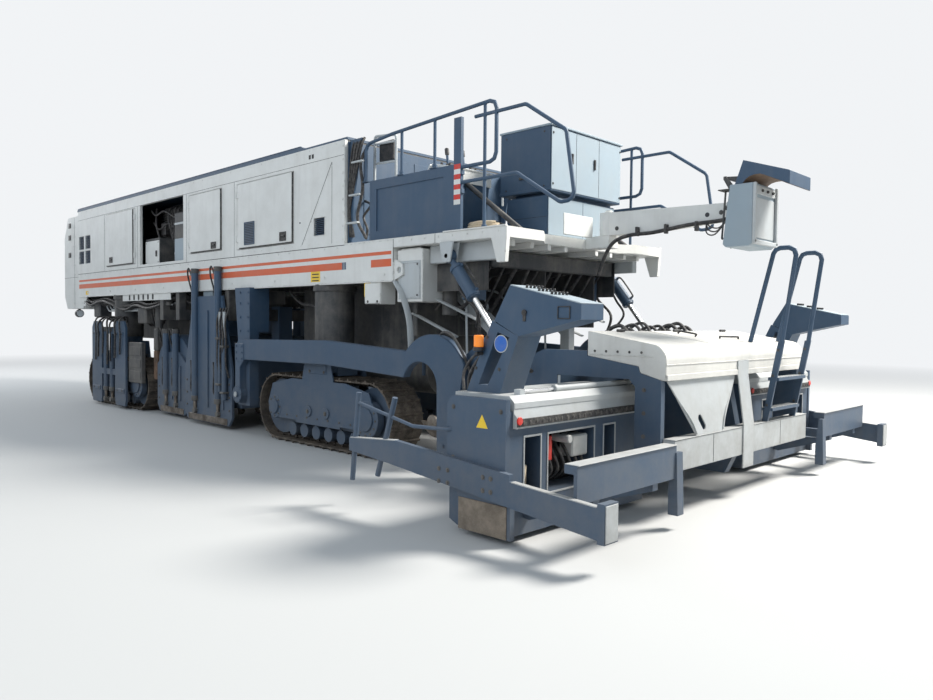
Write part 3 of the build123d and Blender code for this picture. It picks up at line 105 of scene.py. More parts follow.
def add_lights():
    for name, place, size, power, colour in LAMPS:
        data = bpy.data.lights.new(name, "AREA")
        data.shape = "DISK"
        data.size = size
        data.energy = power
        data.color = colour
        lamp = bpy.data.objects.new(name, data)
        lamp.location = place
        lamp.rotation_euler = (Vector((0, 0, 1)) - Vector(place)).to_track_quat("-Z", "Y").to_euler()
        scene.collection.objects.link(lamp)
    world = bpy.data.worlds.new("sky")
    world.use_nodes = True
    tree = world.node_tree
    tree.nodes.clear()
    output = tree.nodes.new("ShaderNodeOutputWorld")
    mix = tree.nodes.new("ShaderNodeMixShader")
    seen = tree.nodes.new("ShaderNodeBackground")
    seen.inputs["Color"].default_value = (0.93, 0.95, 0.97, 1)
    seen.inputs["Strength"].default_value = 0.95
    light = tree.nodes.new("ShaderNodeBackground")
    light.inputs["Color"].default_value = SKY_COLOR
    light.inputs["Strength"].default_value = SKY_STRENGTH
    path = tree.nodes.new("ShaderNodeLightPath")
    seen_or_glossy = tree.nodes.new("ShaderNodeMath")
    seen_or_glossy.operation = "MAXIMUM"
    for socket, ray in enumerate(("Is Camera Ray", "Is Glossy Ray")):
        tree.links.new(path.outputs[ray], seen_or_glossy.inputs[socket])
    tree.links.new(seen_or_glossy.outputs["Value"], mix.inputs["Fac"])
    tree.links.new(light.outputs["Background"], mix.inputs[1])
    tree.links.new(seen.outputs["Background"], mix.inputs[2])
    tree.links.new(mix.outputs["Shader"], output.inputs["Surface"])
    scene.world = world


# Floor: a wide plane that fades to the sky's tone between two distances
FADE = (9, 30)
FLOOR_REACH = 90
FLOOR_COLOR = (0.50, 0.50, 0.49, 1)
FAR_COLOR = (0.884, 0.902, 0.921, 1)


def add_floor():
    mesh = bpy.data.meshes.new("floor")
    corners = [(x * FLOOR_REACH, y * FLOOR_REACH, 0) for x, y in ((-1, -1), (1, -1), (1, 1), (-1, 1))]
    mesh.from_pydata(corners, [], [(0, 1, 2, 3)])
    floor = bpy.data.objects.new("floor", mesh)
    scene.collection.objects.link(floor)
    surface = bpy.data.materials.new("floor")
    surface.use_nodes = True
    shader = surface.node_tree.nodes["Principled BSDF"]
    shader.inputs["Base Color"].default_value = FLOOR_COLOR
    shader.inputs["Roughness"].default_value = 0.9
    tree = surface.node_tree
    far = tree.nodes.new("ShaderNodeEmission")
    far.inputs["Color"].default_value = FAR_COLOR
    place = tree.nodes.new("ShaderNodeTexCoord").outputs["Object"]
    length = tree.nodes.new("ShaderNodeVectorMath")
    length.operation = "LENGTH"
    tree.links.new(place, length.inputs[0])
    fade = tree.nodes.new("ShaderNodeMapRange")
    for socket, value in (("From Min", FADE[0]), ("From Max", FADE[1])):
        fade.inputs[socket].default_value = value
    tree.links.new(length.outputs["Value"], fade.inputs["Value"])
    both = tree.nodes.new("ShaderNodeMath")
    both.operation = "MULTIPLY"
    tree.links.new(fade.outputs["Result"], both.inputs[0])
    tree.links.new(tree.nodes.new("ShaderNodeLightPath").outputs["Is Camera Ray"], both.inputs[1])
    mix = tree.nodes.new("ShaderNodeMixShader")
    tree.links.new(both.outputs["Value"], mix.inputs["Fac"])
    tree.links.new(shader.outputs["BSDF"], mix.inputs[1])
    tree.links.new(far.outputs["Emission"], mix.inputs[2])
    tree.links.new(mix.outputs["Shader"], tree.nodes["Material Output"].inputs["Surface"])
    mesh.materials.append(surface)


# Materials
class Graph:
    """Short calls for building a shader."""

    def __init__(self, name):
        self.material = bpy.data.materials.new(name)
        self.material.use_nodes = True
        self.tree = self.material.node_tree
        self.shader = self.tree.nodes["Principled BSDF"]
        self.place = self.tree.nodes.new("ShaderNodeTexCoord").outputs["Object"]

    def node(self, kind, inputs=(), **settings):
        made = self.tree.nodes.new("ShaderNode" + kind)
        for key, value in settings.items():
            setattr(made, key, value)
        for socket, value in inputs:
            if isinstance(value, bpy.types.NodeSocket):
                self.tree.links.new(value, made.inputs[socket])
            else:
                made.inputs[socket].default_value = value
        return made

    def stretched(self, scale):
        return self.node("Mapping", [("Vector", self.place), ("Scale", scale)]).outputs["Vector"]

    def noise(self, scale, detail=4.0, rough=0.6, stretch=None):
        where = self.place if stretch is None else self.stretched(stretch)
        made = self.node("TexNoise", [("Vector", where), ("Scale", scale), ("Detail", detail),
                                      ("Roughness", rough)])
        return made.outputs["Fac"]

    def band(self, value, low, high, to_low=0.0, to_high=1.0):
        made = self.node("MapRange", [("Value", value), ("From Min", low), ("From Max", high),
                                      ("To Min", to_low), ("To Max", to_high)])
        return made.outputs["Result"]

    def math(self, operation, a, b=0.5, clamp=True):
        made = self.node("Math", [(0, a), (1, b)], operation=operation, use_clamp=clamp)
        return made.outputs["Value"]

    def mix(self, factor, a, b):
        made = self.tree.nodes.new("ShaderNodeMix")
        made.data_type = "RGBA"
        for socket, value in (("Factor_Float", factor), ("A_Color", a), ("B_Color", b)):
            target = next(s for s in made.inputs if s.identifier == socket)
            if isinstance(value, bpy.types.NodeSocket):
                self.tree.links.new(value, target)
            else:
                target.default_value = value if socket == "Factor_Float" else (*value, 1)
        return next(s for s in made.outputs if s.identifier == "Result_Color")

    def height(self):
        return self.node("SeparateXYZ", [("Vector", self.place)]).outputs["Z"]

    def facing_up(self):
        normal = self.node("NewGeometry").outputs["Normal"]
        return self.node("SeparateXYZ", [("Vector", normal)]).outputs["Z"]

    def edges(self, radius):
        """1 near an edge, 0 on flat ground, from how a rounded normal differs from the true one."""
        soft = self.node("Bevel", [("Radius", radius)], samples=4).outputs["Normal"]
        hard = self.node("NewGeometry").outputs["Normal"]
        same = self.node("VectorMath", [(0, soft), (1, hard)], operation="DOT_PRODUCT").outputs["Value"]
        return self.band(same, 0.98, 0.80)

    def bump(self, height, strength, distance=0.002):
        made = self.node("Bump", [("Height", height), ("Strength", strength), ("Distance", distance)])
        self.tree.links.new(made.outputs["Normal"], self.shader.inputs["Normal"])

    def finish(self, color, rough, metal=None):
        for socket, value in (("Base Color", color), ("Roughness", rough), ("Metallic", metal)):
            if isinstance(value, bpy.types.NodeSocket):
                self.tree.links.new(value, self.shader.inputs[socket])
            elif value is not None:
                self.shader.inputs[socket].default_value = value
        return self.material


DUST = (0.33, 0.30, 0.26)


def paint(name, color, dust=0.5, wear=0.5, rough=0.42, bare=(0.10, 0.085, 0.075), low_dirt=1.0):
    """Sprayed metal with blotchy dust, runs of dirt, a dusty foot and rubbed edges."""
    g = Graph(name)
    patch = g.noise(1.1, 5, 0.62)
    fine = g.noise(38, 3, 0.7)
    runs = g.noise(7.0, 3, 0.6, stretch=(1, 1, 0.09))
    tone = g.mix(g.band(patch, 0.35, 0.7), tuple(c * 0.93 for c in color), color)
    streak = g.math("MULTIPLY", g.band(runs, 0.52, 0.72), 0.35 * dust)
    tone = g.mix(streak, tone, DUST)
    film = g.math("MULTIPLY", g.band(g.noise(2.7, 6, 0.68), 0.42, 0.72), 0.55 * dust)
    tone = g.mix(film, tone, DUST)
    top = g.math("MULTIPLY", g.band(g.facing_up(), 0.5, 0.95),
                 g.band(g.noise(5.5, 5, 0.7), 0.3, 0.62, 0.15, 0.6 * dust + 0.15))
    tone = g.mix(g.math("MULTIPLY", top, min(1.0, dust + 0.2)), tone, tuple(c * 1.25 for c in DUST))
    foot = g.math("MULTIPLY", g.band(g.height(), 1.5, 0.05, 0.0, 0.75), low_dirt * 0.9)
    foot = g.math("MULTIPLY", foot, g.band(g.noise(4.5, 6, 0.7), 0.3, 0.65, 0.3, 1.0))
    tone = g.mix(foot, tone, tuple(c * 0.55 for c in DUST))
    chip = g.math("MULTIPLY", g.edges(0.012), g.band(g.noise(16, 4, 0.7), 0.5, 0.66))
    chip = g.math("MULTIPLY", chip, wear)
    tone = g.mix(chip, tone, bare)
    g.bump(g.math("ADD", fine, patch, clamp=False), 0.10)
    roughness = g.band(g.math("ADD", film, g.math("MULTIPLY", fine, 0.3)), 0.0, 0.8, rough,
                       min(0.95, rough + 0.35))
    return g.finish(tone, roughness)


def steel(name, light, dark, rough=0.55, metal=0.6, scale=6.0, bump=0.35):
    """Bare or caked steel: two tones in patches, with a rough grain."""
    g = Graph(name)
    patch = g.noise(scale, 7, 0.7)
    grain = g.noise(scale * 14, 3, 0.7)
    tone = g.mix(g.band(patch, 0.38, 0.66), dark, light)
    tone = g.mix(g.math("MULTIPLY", g.band(grain, 0.55, 0.75), 0.4), tone, DUST)
    g.bump(g.math("ADD", g.math("MULTIPLY", patch, 0.6), grain, clamp=False), bump, 0.004)
    return g.finish(tone, g.band(patch, 0.3, 0.7, rough + 0.2, rough - 0.08), metal)


def rubber(name, color=(0.018, 0.018, 0.02), rough=0.6):
    g = Graph(name)
    dusty = g.math("MULTIPLY", g.band(g.noise(22, 4, 0.7), 0.45, 0.75), 0.35)
    tone = g.mix(dusty, color, DUST)
    g.bump(g.noise(160, 2, 0.6), 0.15)
    return g.finish(tone, rough)


def plain(name, color, rough=0.4, metal=0.0, glow=0.0):
    g = Graph(name)
    tone = g.mix(g.math("MULTIPLY", g.band(g.noise(14, 4, 0.7), 0.45, 0.75), 0.22), color, DUST)
    if glow:
        g.shader.inputs["Emission Color"].default_value = (*color, 1)
        g.shader.inputs["Emission Strength"].default_value = glow
    return g.finish(tone, rough, metal)


WHITE = paint("white_paint", (0.74, 0.74, 0.71), dust=0.30, wear=0.6, rough=0.38)
SLATE = paint("slate_paint", (0.034, 0.074, 0.132), dust=0.12, wear=0.5, rough=0.46, low_dirt=0.6)
# Slate paint made lighter: painted sunlight, a lit copy of the slate for sheets that face the rear-right key
# light
SLATE_PAINTED_SUNLIT = paint("slate_paint_painted_sunlight", (0.30, 0.37, 0.42), dust=0.2, wear=0.4, rough=0.42)
DARK = paint("dark_frame_paint", (0.035, 0.038, 0.042), dust=0.6, wear=0.4, rough=0.5)
PALE = paint("galvanised_steel", (0.50, 0.53, 0.54), dust=0.45, wear=0.5, rough=0.45)
HOOD = paint("hood_paint", (0.72, 0.71, 0.67), dust=0.45, wear=0.5, rough=0.4)
ORANGE = paint("stripe_paint", (0.66, 0.115, 0.035), dust=0.3, wear=0.3, rough=0.4)
TRACK = steel("track_steel", (0.17, 0.14, 0.11), (0.055, 0.047, 0.04), rough=0.62, metal=0.35)
TOOL = steel("tool_steel", (0.25, 0.22, 0.19), (0.09, 0.075, 0.06), rough=0.5, metal=0.7)
CHROME = steel("rod_chrome", (0.78, 0.79, 0.8), (0.62, 0.63, 0.64), rough=0.12, metal=1.0, scale=3, bump=0.02)
RUBBER = rubber("hose_rubber")
BLACK = plain("black_plastic", (0.02, 0.02, 0.022), 0.45)
SHADOW = plain("dark_opening", (0.012, 0.013, 0.015), 0.8)
LINK = steel("chain_steel", (0.10, 0.085, 0.07), (0.03, 0.026, 0.023), rough=0.6, metal=0.5)
SOLE = steel("dusty_sole", (0.27, 0.22, 0.17), (0.16, 0.13, 0.10), rough=0.8, metal=0.1)
RUST = steel("rusty_sheet", (0.20, 0.12, 0.075), (0.09, 0.06, 0.045), rough=0.8, metal=0.1)
SAND = plain("sand_rope", (0.52, 0.43, 0.31), 0.9)
BROWN = plain("brown_lining", (0.16, 0.105, 0.07), 0.7)
YELLOW = plain("yellow_label", (0.85, 0.56, 0.03), 0.45)
RED = plain("red_paint", (0.60, 0.03, 0.02), 0.4)
BLUE = plain("blue_sign", (0.02, 0.13, 0.50), 0.4)
AMBER = plain("amber_lens", (0.95, 0.26, 0.02), 0.25, glow=0.25)
GLASS = plain("lamp_glass", (0.62, 0.66, 0.68), 0.15)

SLOT_FINISH = {
    "body_white": WHITE, "slate_blue": SLATE, "dark_steel": DARK, "worn_steel": TRACK, "pale_steel": PALE,
    "hood_white": HOOD, "rod_chrome": CHROME,
}


# Forms
UP = Vector((0, 0, 1))
BOX_FACES = ((0, 1, 3, 2), (4, 6, 7, 5), (0, 4, 5, 1), (2, 3, 7, 6), (0, 2, 6, 4), (1, 5, 7, 3))
SMALL_PART_EDGE = 40
PANEL_EDGE = 50
ROUNDING = 0.006
WELD = 0.00005
fittings = {}


def turned(direction):
    """Two directions square to a given one."""
    ahead = Vector(direction).normalized()
    side = ahead.cross(UP if abs(ahead.z) < 0.9 else Vector((1, 0, 0))).normalized()
    return side, ahead.cross(side)


def circle(centre, side, top, radius, count):
    """Points round a centre, in the plane of two directions."""
    return [Vector(centre) + (side * cos(2 * pi * i / count) + top * sin(2 * pi * i / count)) * radius
            for i in range(count)]


def closed_faces(count):
    """Faces of a form whose two ends have that many corners each."""
    ends = [tuple(range(count)), tuple(range(2 * count - 1, count - 1, -1))]
    return ends + [(i, (i + 1) % count, (i + 1) % count + count, i + count) for i in range(count)]


class Fitting:
    """Small closed forms gathered into one piece that rides on one body."""

    def __init__(self, name, body, finish):
        self.name, self.body, self.finish = name, body, finish
        self.mesh = bmesh.new()

    def form(self, corners, faces, soft=0.0):
        """A closed form, its edges rounded where soft is above 0."""
        made = [self.mesh.verts.new(corner) for corner in corners]
        shape = [self.mesh.faces.new([made[i] for i in face]) for face in faces]
        if soft:
            edges = list(dict.fromkeys(edge for face in shape for edge in face.edges))
            bmesh.ops.bevel(self.mesh, geom=edges, offset=soft, segments=1, affect="EDGES",
                            clamp_overlap=True)

    def box(self, x, y, z, soft=0.004):
        corners = [Vector((a, b, c)) for a in x for b in y for c in z]
        self.form(corners, BOX_FACES, soft)

    def prism(self, outline, axis, span, soft=0.003):
        """An outline in the two other axes, in their order, made thick along an axis."""
        place = {"x": lambda a, b, s: (s, a, b), "y": lambda a, b, s: (a, s, b)}[axis]
        corners = [place(a, b, s) for s in span for a, b in outline]
        self.form(corners, closed_faces(len(outline)), soft)

    def sweep(self, route, radius, sides=10, flat=1.0):
        """A round or flattened section along a route of points."""
        route = [Vector(point) for point in route]
        side, top = turned(route[1] - route[0])
        corners, last = [], (route[1] - route[0]).normalized()
        for here, after in zip(route, route[1:] + [None]):
            ahead = (after - here).normalized() if after else last
            half = (last + ahead).normalized()
            side = (side - half * side.dot(half)).normalized()
            top = half.cross(side)
            spread = 1 / max(0.5, half.dot(ahead))
            for step in range(sides):
                angle = 2 * pi * step / sides
                across, along = cos(angle) * radius * spread, sin(angle) * radius * flat * spread
                corners.append(here + side * across + top * along)
            last = ahead
        faces = [tuple(range(sides)), tuple(range(len(corners) - 1, len(corners) - sides - 1, -1))]
        for ring in range(len(route) - 1):
            base = ring * sides
            faces += [(base + i, base + (i + 1) % sides, base + sides + (i + 1) % sides, base + sides + i)
                      for i in range(sides)]
        self.form(corners, faces)

    def rod(self, start, end, radius, sides=14, soft=0.0):
        side, top = turned(Vector(end) - Vector(start))
        corners = [corner for place in (start, end) for corner in circle(place, side, top, radius, sides)]
        self.form(corners, closed_faces(sides), soft)

    def ring(self, start, end, inner, outer, sides=28):
        """A flat ring round a shaft."""
        side, top = turned(Vector(end) - Vector(start))
        loops = ((start, inner), (start, outer), (end, outer), (end, inner))
        corners = [corner for place, radius in loops for corner in circle(place, side, top, radius, sides)]
        faces = [(loop * sides + i, loop * sides + (i + 1) % sides, (loop + 1) % 4 * sides + (i + 1) % sides,
                  (loop + 1) % 4 * sides + i) for loop in range(4) for i in range(sides)]
        self.form(corners, faces)

    def tube(self, points, radius, bend, sides=10):
        self.sweep(rounded(points, bend), radius, sides)

    def hose(self, points, radius, sides=8):
        self.sweep(curved(points), radius, sides)

    def bolt(self, place, direction, radius=0.011, height=0.009):
        """A washer with a six-sided head on it."""
        place, ahead = Vector(place), Vector(direction).normalized()
        self.rod(place, place + ahead * height * 0.35, radius * 1.5, 12)
        self.rod(place, place + ahead * height, radius, 6)

    def place(self):
        bmesh.ops.recalc_face_normals(self.mesh, faces=self.mesh.faces)
        piece = add_piece(self.name, self.mesh, [self.finish], SMALL_PART_EDGE)
        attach(piece, self.body)


def fitting(name, finish, body="root"):
    """The fitting of that name, made when it is first asked for."""
    if name not in fittings:
        fittings[name] = Fitting(name, body, finish)
    return fittings[name]


def rounded(points, bend, steps=5):
    """A route whose corners are turned in a smooth curve."""
    points = [Vector(point) for point in points]
    route = [points[0]]
    for before, corner, after in zip(points, points[1:], points[2:]):
        reach = min(bend, (corner - before).length * 0.48, (after - corner).length * 0.48)
        start = corner + (before - corner).normalized() * reach
        end = corner + (after - corner).normalized() * reach
        for step in range(steps + 1):
            t = step / steps
            route.append(start * (1 - t) ** 2 + corner * (2 * t * (1 - t)) + end * t ** 2)
    return route + [points[-1]]


def curved(points, steps=6):
    """A smooth route through every point."""
    points = [Vector(point) for point in points]
    ends = [points[0] * 2 - points[1], *points, points[-1] * 2 - points[-2]]
    route = []
    for a, b, c, d in zip(ends, ends[1:], ends[2:], ends[3:]):
        for step in range(steps):
            t = step / steps
            route.append(0.5 * (b * 2 + (c - a) * t + (a * 2 - b * 5 + c * 4 - d) * t ** 2
                                + (b * 3 - a - c * 3 + d) * t ** 3))
    return route + [points[-1]]


def even_normals(data, limit):
    """Normals weighted by area, so that a wide flat face stays flat beside its rounded edges."""
    faces_at = [[] for _ in data.vertices]
    for face in data.polygons:
        for corner in face.vertices:
            faces_at[corner].append((face.normal.copy(), face.area))
    alike = cos(radians(limit))
    normals = []
    for face in data.polygons:
        for corner in face.vertices:
            total = face.normal * 1e-9
            for normal, area in faces_at[corner]:
                if normal.dot(face.normal) > alike:
                    total = total + normal * area
            normals.append(total.normalized())
    data.normals_split_custom_set(normals)


def add_piece(name, mesh, materials, round_over):
    """An object from a mesh in work, smooth up to an angle."""
    data = bpy.data.meshes.new(name)
    mesh.to_mesh(data)
    mesh.free()
    for material in materials:
        data.materials.append(material)
    data.shade_smooth()
    data.set_sharp_from_angle(angle=radians(round_over))
    even_normals(data, round_over)
    piece = bpy.data.objects.new(name, data)
    scene.collection.objects.link(piece)
    return piece


def soften(node):
    """A copy of a CAD node with its edges rounded off stands for it."""
    source = frame["nodes"][node]
    mesh = bmesh.new()
    mesh.from_mesh(source.data)
    bmesh.ops.transform(mesh, matrix=source.matrix_world, verts=mesh.verts)
    bmesh.ops.remove_doubles(mesh, verts=mesh.verts, dist=WELD)
    bmesh.ops.dissolve_limit(mesh, angle_limit=radians(1), verts=mesh.verts, edges=mesh.edges)
    sharp = [e for e in mesh.edges if len(e.link_faces) == 2 and e.calc_face_angle(0) > radians(PANEL_EDGE)]
    bmesh.ops.bevel(mesh, geom=sharp, offset=ROUNDING, segments=2, affect="EDGES", clamp_overlap=True)
    piece = add_piece(node + "_soft", mesh, list(source.data.materials), PANEL_EDGE)
    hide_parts(node)
    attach(piece, body_of_node[node])


# Places shared by the fitted parts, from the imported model
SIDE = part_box("frame_beams")[1][1]
FRAME_LOW = 2.15
FRAME_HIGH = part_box("housing_side_left")[0][2]
HOUSING_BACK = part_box("housing_side_left")[0][0]
HOUSING_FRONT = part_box("housing_side_left")[1][0]
HOUSING_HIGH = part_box("housing_side_left")[1][2]
BOTH = (1, -1)
HANDS = (("left", 1), ("right", -1))


def span(side, near, far):
    """A low-high pair of Y values on one side."""
    return (near, far) if side > 0 else (-far, -near)


def slats(piece, x, y, z, count, thick=0.012, lean=0.02):
    """Leaning horizontal slats that fill an opening; y is (outer, inner)."""
    outer, inner = y
    pitch = (z[1] - z[0]) / count
    for row in range(count):
        low = z[0] + pitch * (row + 0.2)
        piece.prism([(outer, low), (inner, low + lean), (inner, low + lean + thick), (outer, low + thick)],
                    "x", x, 0)


def bolt_ring(piece, centre, side, radius, count, size, height):
    """Bolts in a circle on a side face."""
    x, y, z = centre
    for step in range(count):
        angle = 2 * pi * step / count
        piece.bolt((x + cos(angle) * radius, y, z + sin(angle) * radius), (0, side, 0), size, height)


def frame_around(piece, x, y, z, wide, soft=0.003):
    """Four flat bars round an opening in a side wall."""
    piece.box((x[0] - wide, x[1] + wide), y, (z[0] - wide, z[0]), soft)
    piece.box((x[0] - wide, x[1] + wide), y, (z[1], z[1] + wide), soft)
    piece.box((x[0] - wide, x[0]), y, z, soft)
    piece.box((x[1], x[1] + wide), y, z, soft)


# Frame
STRIPE_THIN = (2.455, 2.495)
STRIPE_THICK = (2.315, 2.405)
STRIPE_ENDS = (-3.68, 6.55)
STRIPE_GAP = (-3.304, -2.723)


def frame_stripes():
    stripe, block = fitting("frame_stripes", ORANGE), fitting("stripe_block", SLATE)
    for side in BOTH:
        y = span(side, SIDE, SIDE + 0.0015)
        stripe.box(STRIPE_ENDS, y, STRIPE_THIN, 0)
        stripe.box((STRIPE_ENDS[0], STRIPE_GAP[0]), y, STRIPE_THICK, 0)
        stripe.box((STRIPE_GAP[1], STRIPE_ENDS[1]), y, STRIPE_THICK, 0)
        for x in (-2.806, -2.777, -2.748):
            block.box((x, x + 0.021), y, STRIPE_THICK, 0)


def frame_trim():
    """Joint line, bolts, slotted rail under the beam, blank labels and the lower flange."""
    seam, bolts = fitting("frame_seam", SHADOW), fitting("frame_bolts", WHITE)
    rail, slots = fitting("slotted_rail", WHITE), fitting("rail_slots", SHADOW)
    label, flange = fitting("blank_labels", YELLOW), fitting("frame_flange", WHITE)
    plate = fitting("blank_plates", WHITE)
    for side in BOTH:
        skin = span(side, SIDE, SIDE + 0.0012)
        seam.box((HOUSING_BACK, HOUSING_FRONT), skin, (FRAME_HIGH - 0.004, FRAME_HIGH + 0.003), 0)
        flange.box((-3.70, 6.58), span(side, SIDE - 0.03, SIDE + 0.010), (FRAME_LOW - 0.014, FRAME_LOW),
                   0.003)
        for step in range(34):
            bolts.bolt((-2.62 + step * 0.275, side * SIDE, FRAME_HIGH - 0.03), (0, side, 0), 0.009, 0.007)
        for step in range(9):
            bolts.bolt((-3.55 + step * 1.2, side * SIDE, 2.225), (0, side, 0), 0.014, 0.010)
        rail.box((2.19, 4.26), span(side, SIDE - 0.022, SIDE - 0.010), (2.02, FRAME_LOW), 0.002)
        for step in range(6):
            x = 2.87 + step * 0.205
            slots.box((x, x + 0.07), span(side, SIDE - 0.0105, SIDE - 0.0092), (2.04, 2.125), 0)
            slots.box((x + 0.02, x + 0.05), span(side, SIDE - 0.0105, SIDE - 0.0088), (2.03, 2.14), 0)
        label.box((-2.25, -2.04), skin, (2.18, 2.315), 0)
        label.box((-3.283, -3.165), span(side, 1.49, 1.4915), (1.97, 2.148), 0)
        label.box((6.02, 6.17), skin, (2.18, 2.26), 0)
        plate.box((-4.10, -3.77), span(side, 1.40, 1.425), (2.425, 2.515), 0.004)
    for row in range(3):
        z = 2.19 + row * 0.042
        slots.box((-2.22, -2.07), (SIDE + 0.0014, SIDE + 0.0020), (z, z + 0.014), 0)


def service_box_trim():
    """Lids, hinges and latches of the two boxes under the frame's rear end."""
    lid, dark = fitting("service_box_lids", WHITE), fitting("service_box_fittings", BLACK)
    grey = fitting("service_box_sheets", PALE)
    for side in BOTH:
        lid.box((-3.47, -3.18), span(side, 1.490, 1.496), (1.89, 2.13), 0.003)
        dark.box((-3.46, -3.19), span(side, 1.488, 1.4972), (1.874, 1.884), 0.001)
        for x in (-3.42, -3.24):
            dark.bolt((x, side * 1.496, 1.91), (0, side, 0), 0.010, 0.008)
        grey.box((-4.13, -3.75), span(side, 1.440, 1.447), (1.93, 2.37), 0.004)
        frame_around(grey, (-4.10, -3.78), span(side, 1.447, 1.453), (1.96, 2.34), 0.018)
        for x in (-4.08, -3.80):
            for z in (1.975, 2.325):
                dark.bolt((x, side * 1.452, z), (0, side, 0), 0.008, 0.006)


def bent_pipes():
    """Pale curved strip from the frame's rear corner down to the arm's hump."""
    pipe = fitting("rear_guard_strip", PALE)
    for side in BOTH:
        route = curved([(-3.72, side * 1.47, 2.14), (-3.86, side * 1.485, 1.98), (-3.99, side * 1.495, 1.72),
                        (-4.035, side * 1.50, 1.45), (-4.04, side * 1.50, 1.22)])
        pipe.sweep(route, 0.045, 8, 0.30)
        pipe.box((-4.075, -4.005), span(side, 1.44, 1.505), (1.19, 1.235), 0.004)


# Engine housing
def housing_trim():
    """Seams, rivets, bolt rows and vents of the side walls."""
    seam, rivet = fitting("housing_seams", SHADOW), fitting("housing_rivets", WHITE)
    dark, slat = fitting("vent_backs", SHADOW), fitting("vent_slats", SLATE)
    rim = fitting("vent_rims", WHITE)
    for side in BOTH:
        face = side * SIDE
        seam.rod((-2.503, face, 3.686), (-1.830, face, 2.683), 0.0035, 6)
        seam.rod((-2.503, face, 3.686), (-2.503, face, 2.66), 0.0025, 6)
        seam.rod((HOUSING_BACK + 0.01, face, 3.742), (HOUSING_FRONT, face, 3.742), 0.0025, 6)
        for x in (-0.02, 1.560, 3.525, 5.12):
            seam.rod((x, face, 2.63), (x, face, 3.735), 0.0025, 6)
        for step in range(9):
            t = (step + 0.4) / 9
            rivet.bolt((-2.53 + 0.673 * t, face, 3.686 - 1.003 * t), (0, side, 0), 0.007, 0.005)
        for step in range(8):
            rivet.bolt((HOUSING_BACK + 0.035, face, 2.70 + step * 0.165), (0, side, 0), 0.011, 0.008)
        for step in range(12):
            rivet.bolt((-2.6 + step * 0.2, face, 2.67), (0, side, 0), 0.007, 0.005)
        for step in range(31):
            rivet.bolt((-2.6 + step * 0.3, face, HOUSING_HIGH - 0.035), (0, side, 0), 0.007, 0.005)
        for x in (-2.10, -2.03):
            seam.box((x, x + 0.045), span(side, SIDE, SIDE + 0.0012), (3.79, 3.845), 0)
        seam.rod((-1.782, face - side * 0.002, 2.979), (-1.782, face + side * 0.0015, 2.979), 0.013, 12)
        dark.box((-2.36, -2.10), span(side, 1.452, 1.456), (2.77, 3.02), 0)
        slats(slat, (-2.348, -2.112), (side * 1.494, side * 1.462), (2.785, 3.005), 9, 0.005, 0.016)
        frame_around(rim, (-2.348, -2.112), span(side, SIDE, SIDE + 0.006), (2.782, 3.008), 0.012, 0.002)
        for x0 in (5.90, 6.26):
            for z0, z1 in ((2.83, 3.09), (3.13, 3.40)):
                dark.box((x0, x0 + 0.28), span(side, 1.452, 1.456), (z0, z1), 0)
                slats(slat, (x0 + 0.003, x0 + 0.277), (side * 1.492, side * 1.464), (z0, z1), 8, 0.006, 0.02)


def roof_trim():
    """Joint straps, edge strips and lifting lugs of the roof."""
    strap, lug = fitting("roof_straps", SLATE), fitting("roof_lugs", DARK)
    low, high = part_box("housing_roof")
    for x in (-1.2, 0.6, 2.4, 4.2, 5.9):
        strap.box((x, x + 0.05), (low[1] + 0.02, high[1] - 0.02), (high[2], high[2] + 0.006), 0.002)
    for side in BOTH:
        strap.box((-1.72, high[0] - 0.05), span(side, high[1] - 0.03, high[1]), (high[2], high[2] + 0.012),
                  0.003)
        for x in (-2.3, 0.9, 3.3, 6.2):
            lug.prism([(x - 0.05, high[2]), (x + 0.05, high[2]), (x + 0.03, high[2] + 0.05),
                       (x - 0.03, high[2] + 0.05)], "y", span(side, 1.20, 1.215), 0.003)


DOORS = {
    # rear edge, front edge, low edge, high edge, hinge side, latch X, latch Z
    "1": (3.630, 5.000, 2.700, 3.720, "rear", (4.65, 4.80), (2.768, 2.880)),
    "2": (1.680, 3.420, 2.670, 3.740, "front", (1.76, 1.91), (2.740, 2.852)),
    "3": (0.360, 1.470, 2.750, 3.700, "front", (0.50, 0.66), (2.785, 2.890)),
    "4": (-1.630, -0.100, 2.720, 3.690, "front", (-1.485, -1.32), (2.765, 2.890)),
}
DOOR_BODIES = (("left", 1, "134"), ("right", -1, "1234"))


def door_trim():
    """Raised skins on dark seals, paddle latches and the louvre of the rearmost doors."""
    for hand, side, numbers in DOOR_BODIES:
        for number in numbers:
            body = f"door_{hand}_{number}"
            x0, x1, z0, z1, hinge, latch_x, latch_z = DOORS[number]
            if body == "door_right_1":
                hinge = "front"
            x0, x1 = (x0 + 0.085, x1 - 0.010) if hinge == "rear" else (x0 + 0.010, x1 - 0.085)
            z0, z1 = z0 + 0.010, z1 - 0.010
            seal = fitting(body + "_seal", RUBBER, body)
            skin = fitting(body + "_skin", WHITE, body)
            black = fitting(body + "_latch", BLACK, body)
            seal.box((x0, x1), span(side, SIDE, SIDE + 0.016), (z0, z1), 0.004)
            edge = 0.012 if hinge == "front" else 0.002
            skin.box((x0 + edge, x1 - 0.014 + edge), span(side, SIDE + 0.016, SIDE + 0.026),
                     (z0 + 0.012, z1 - 0.003), 0.005)
            latch(black, latch_x, side, latch_z)
            if number == "4":
                louvre = fitting(body + "_louvre", SLATE, body)
                dark = fitting(body + "_louvre_back", SHADOW, body)
                dark.box((-0.648, -0.365), span(side, SIDE + 0.026, SIDE + 0.027), (2.776, 3.102), 0)
                slats(louvre, (-0.640, -0.373), (side * (SIDE + 0.036), side * (SIDE + 0.028)),
                      (2.782, 3.098), 13,
                      0.004, 0.012)
                frame_around(louvre, (-0.640, -0.373), span(side, SIDE + 0.026, SIDE + 0.036), (2.784, 3.096),
                             0.010, 0.002)


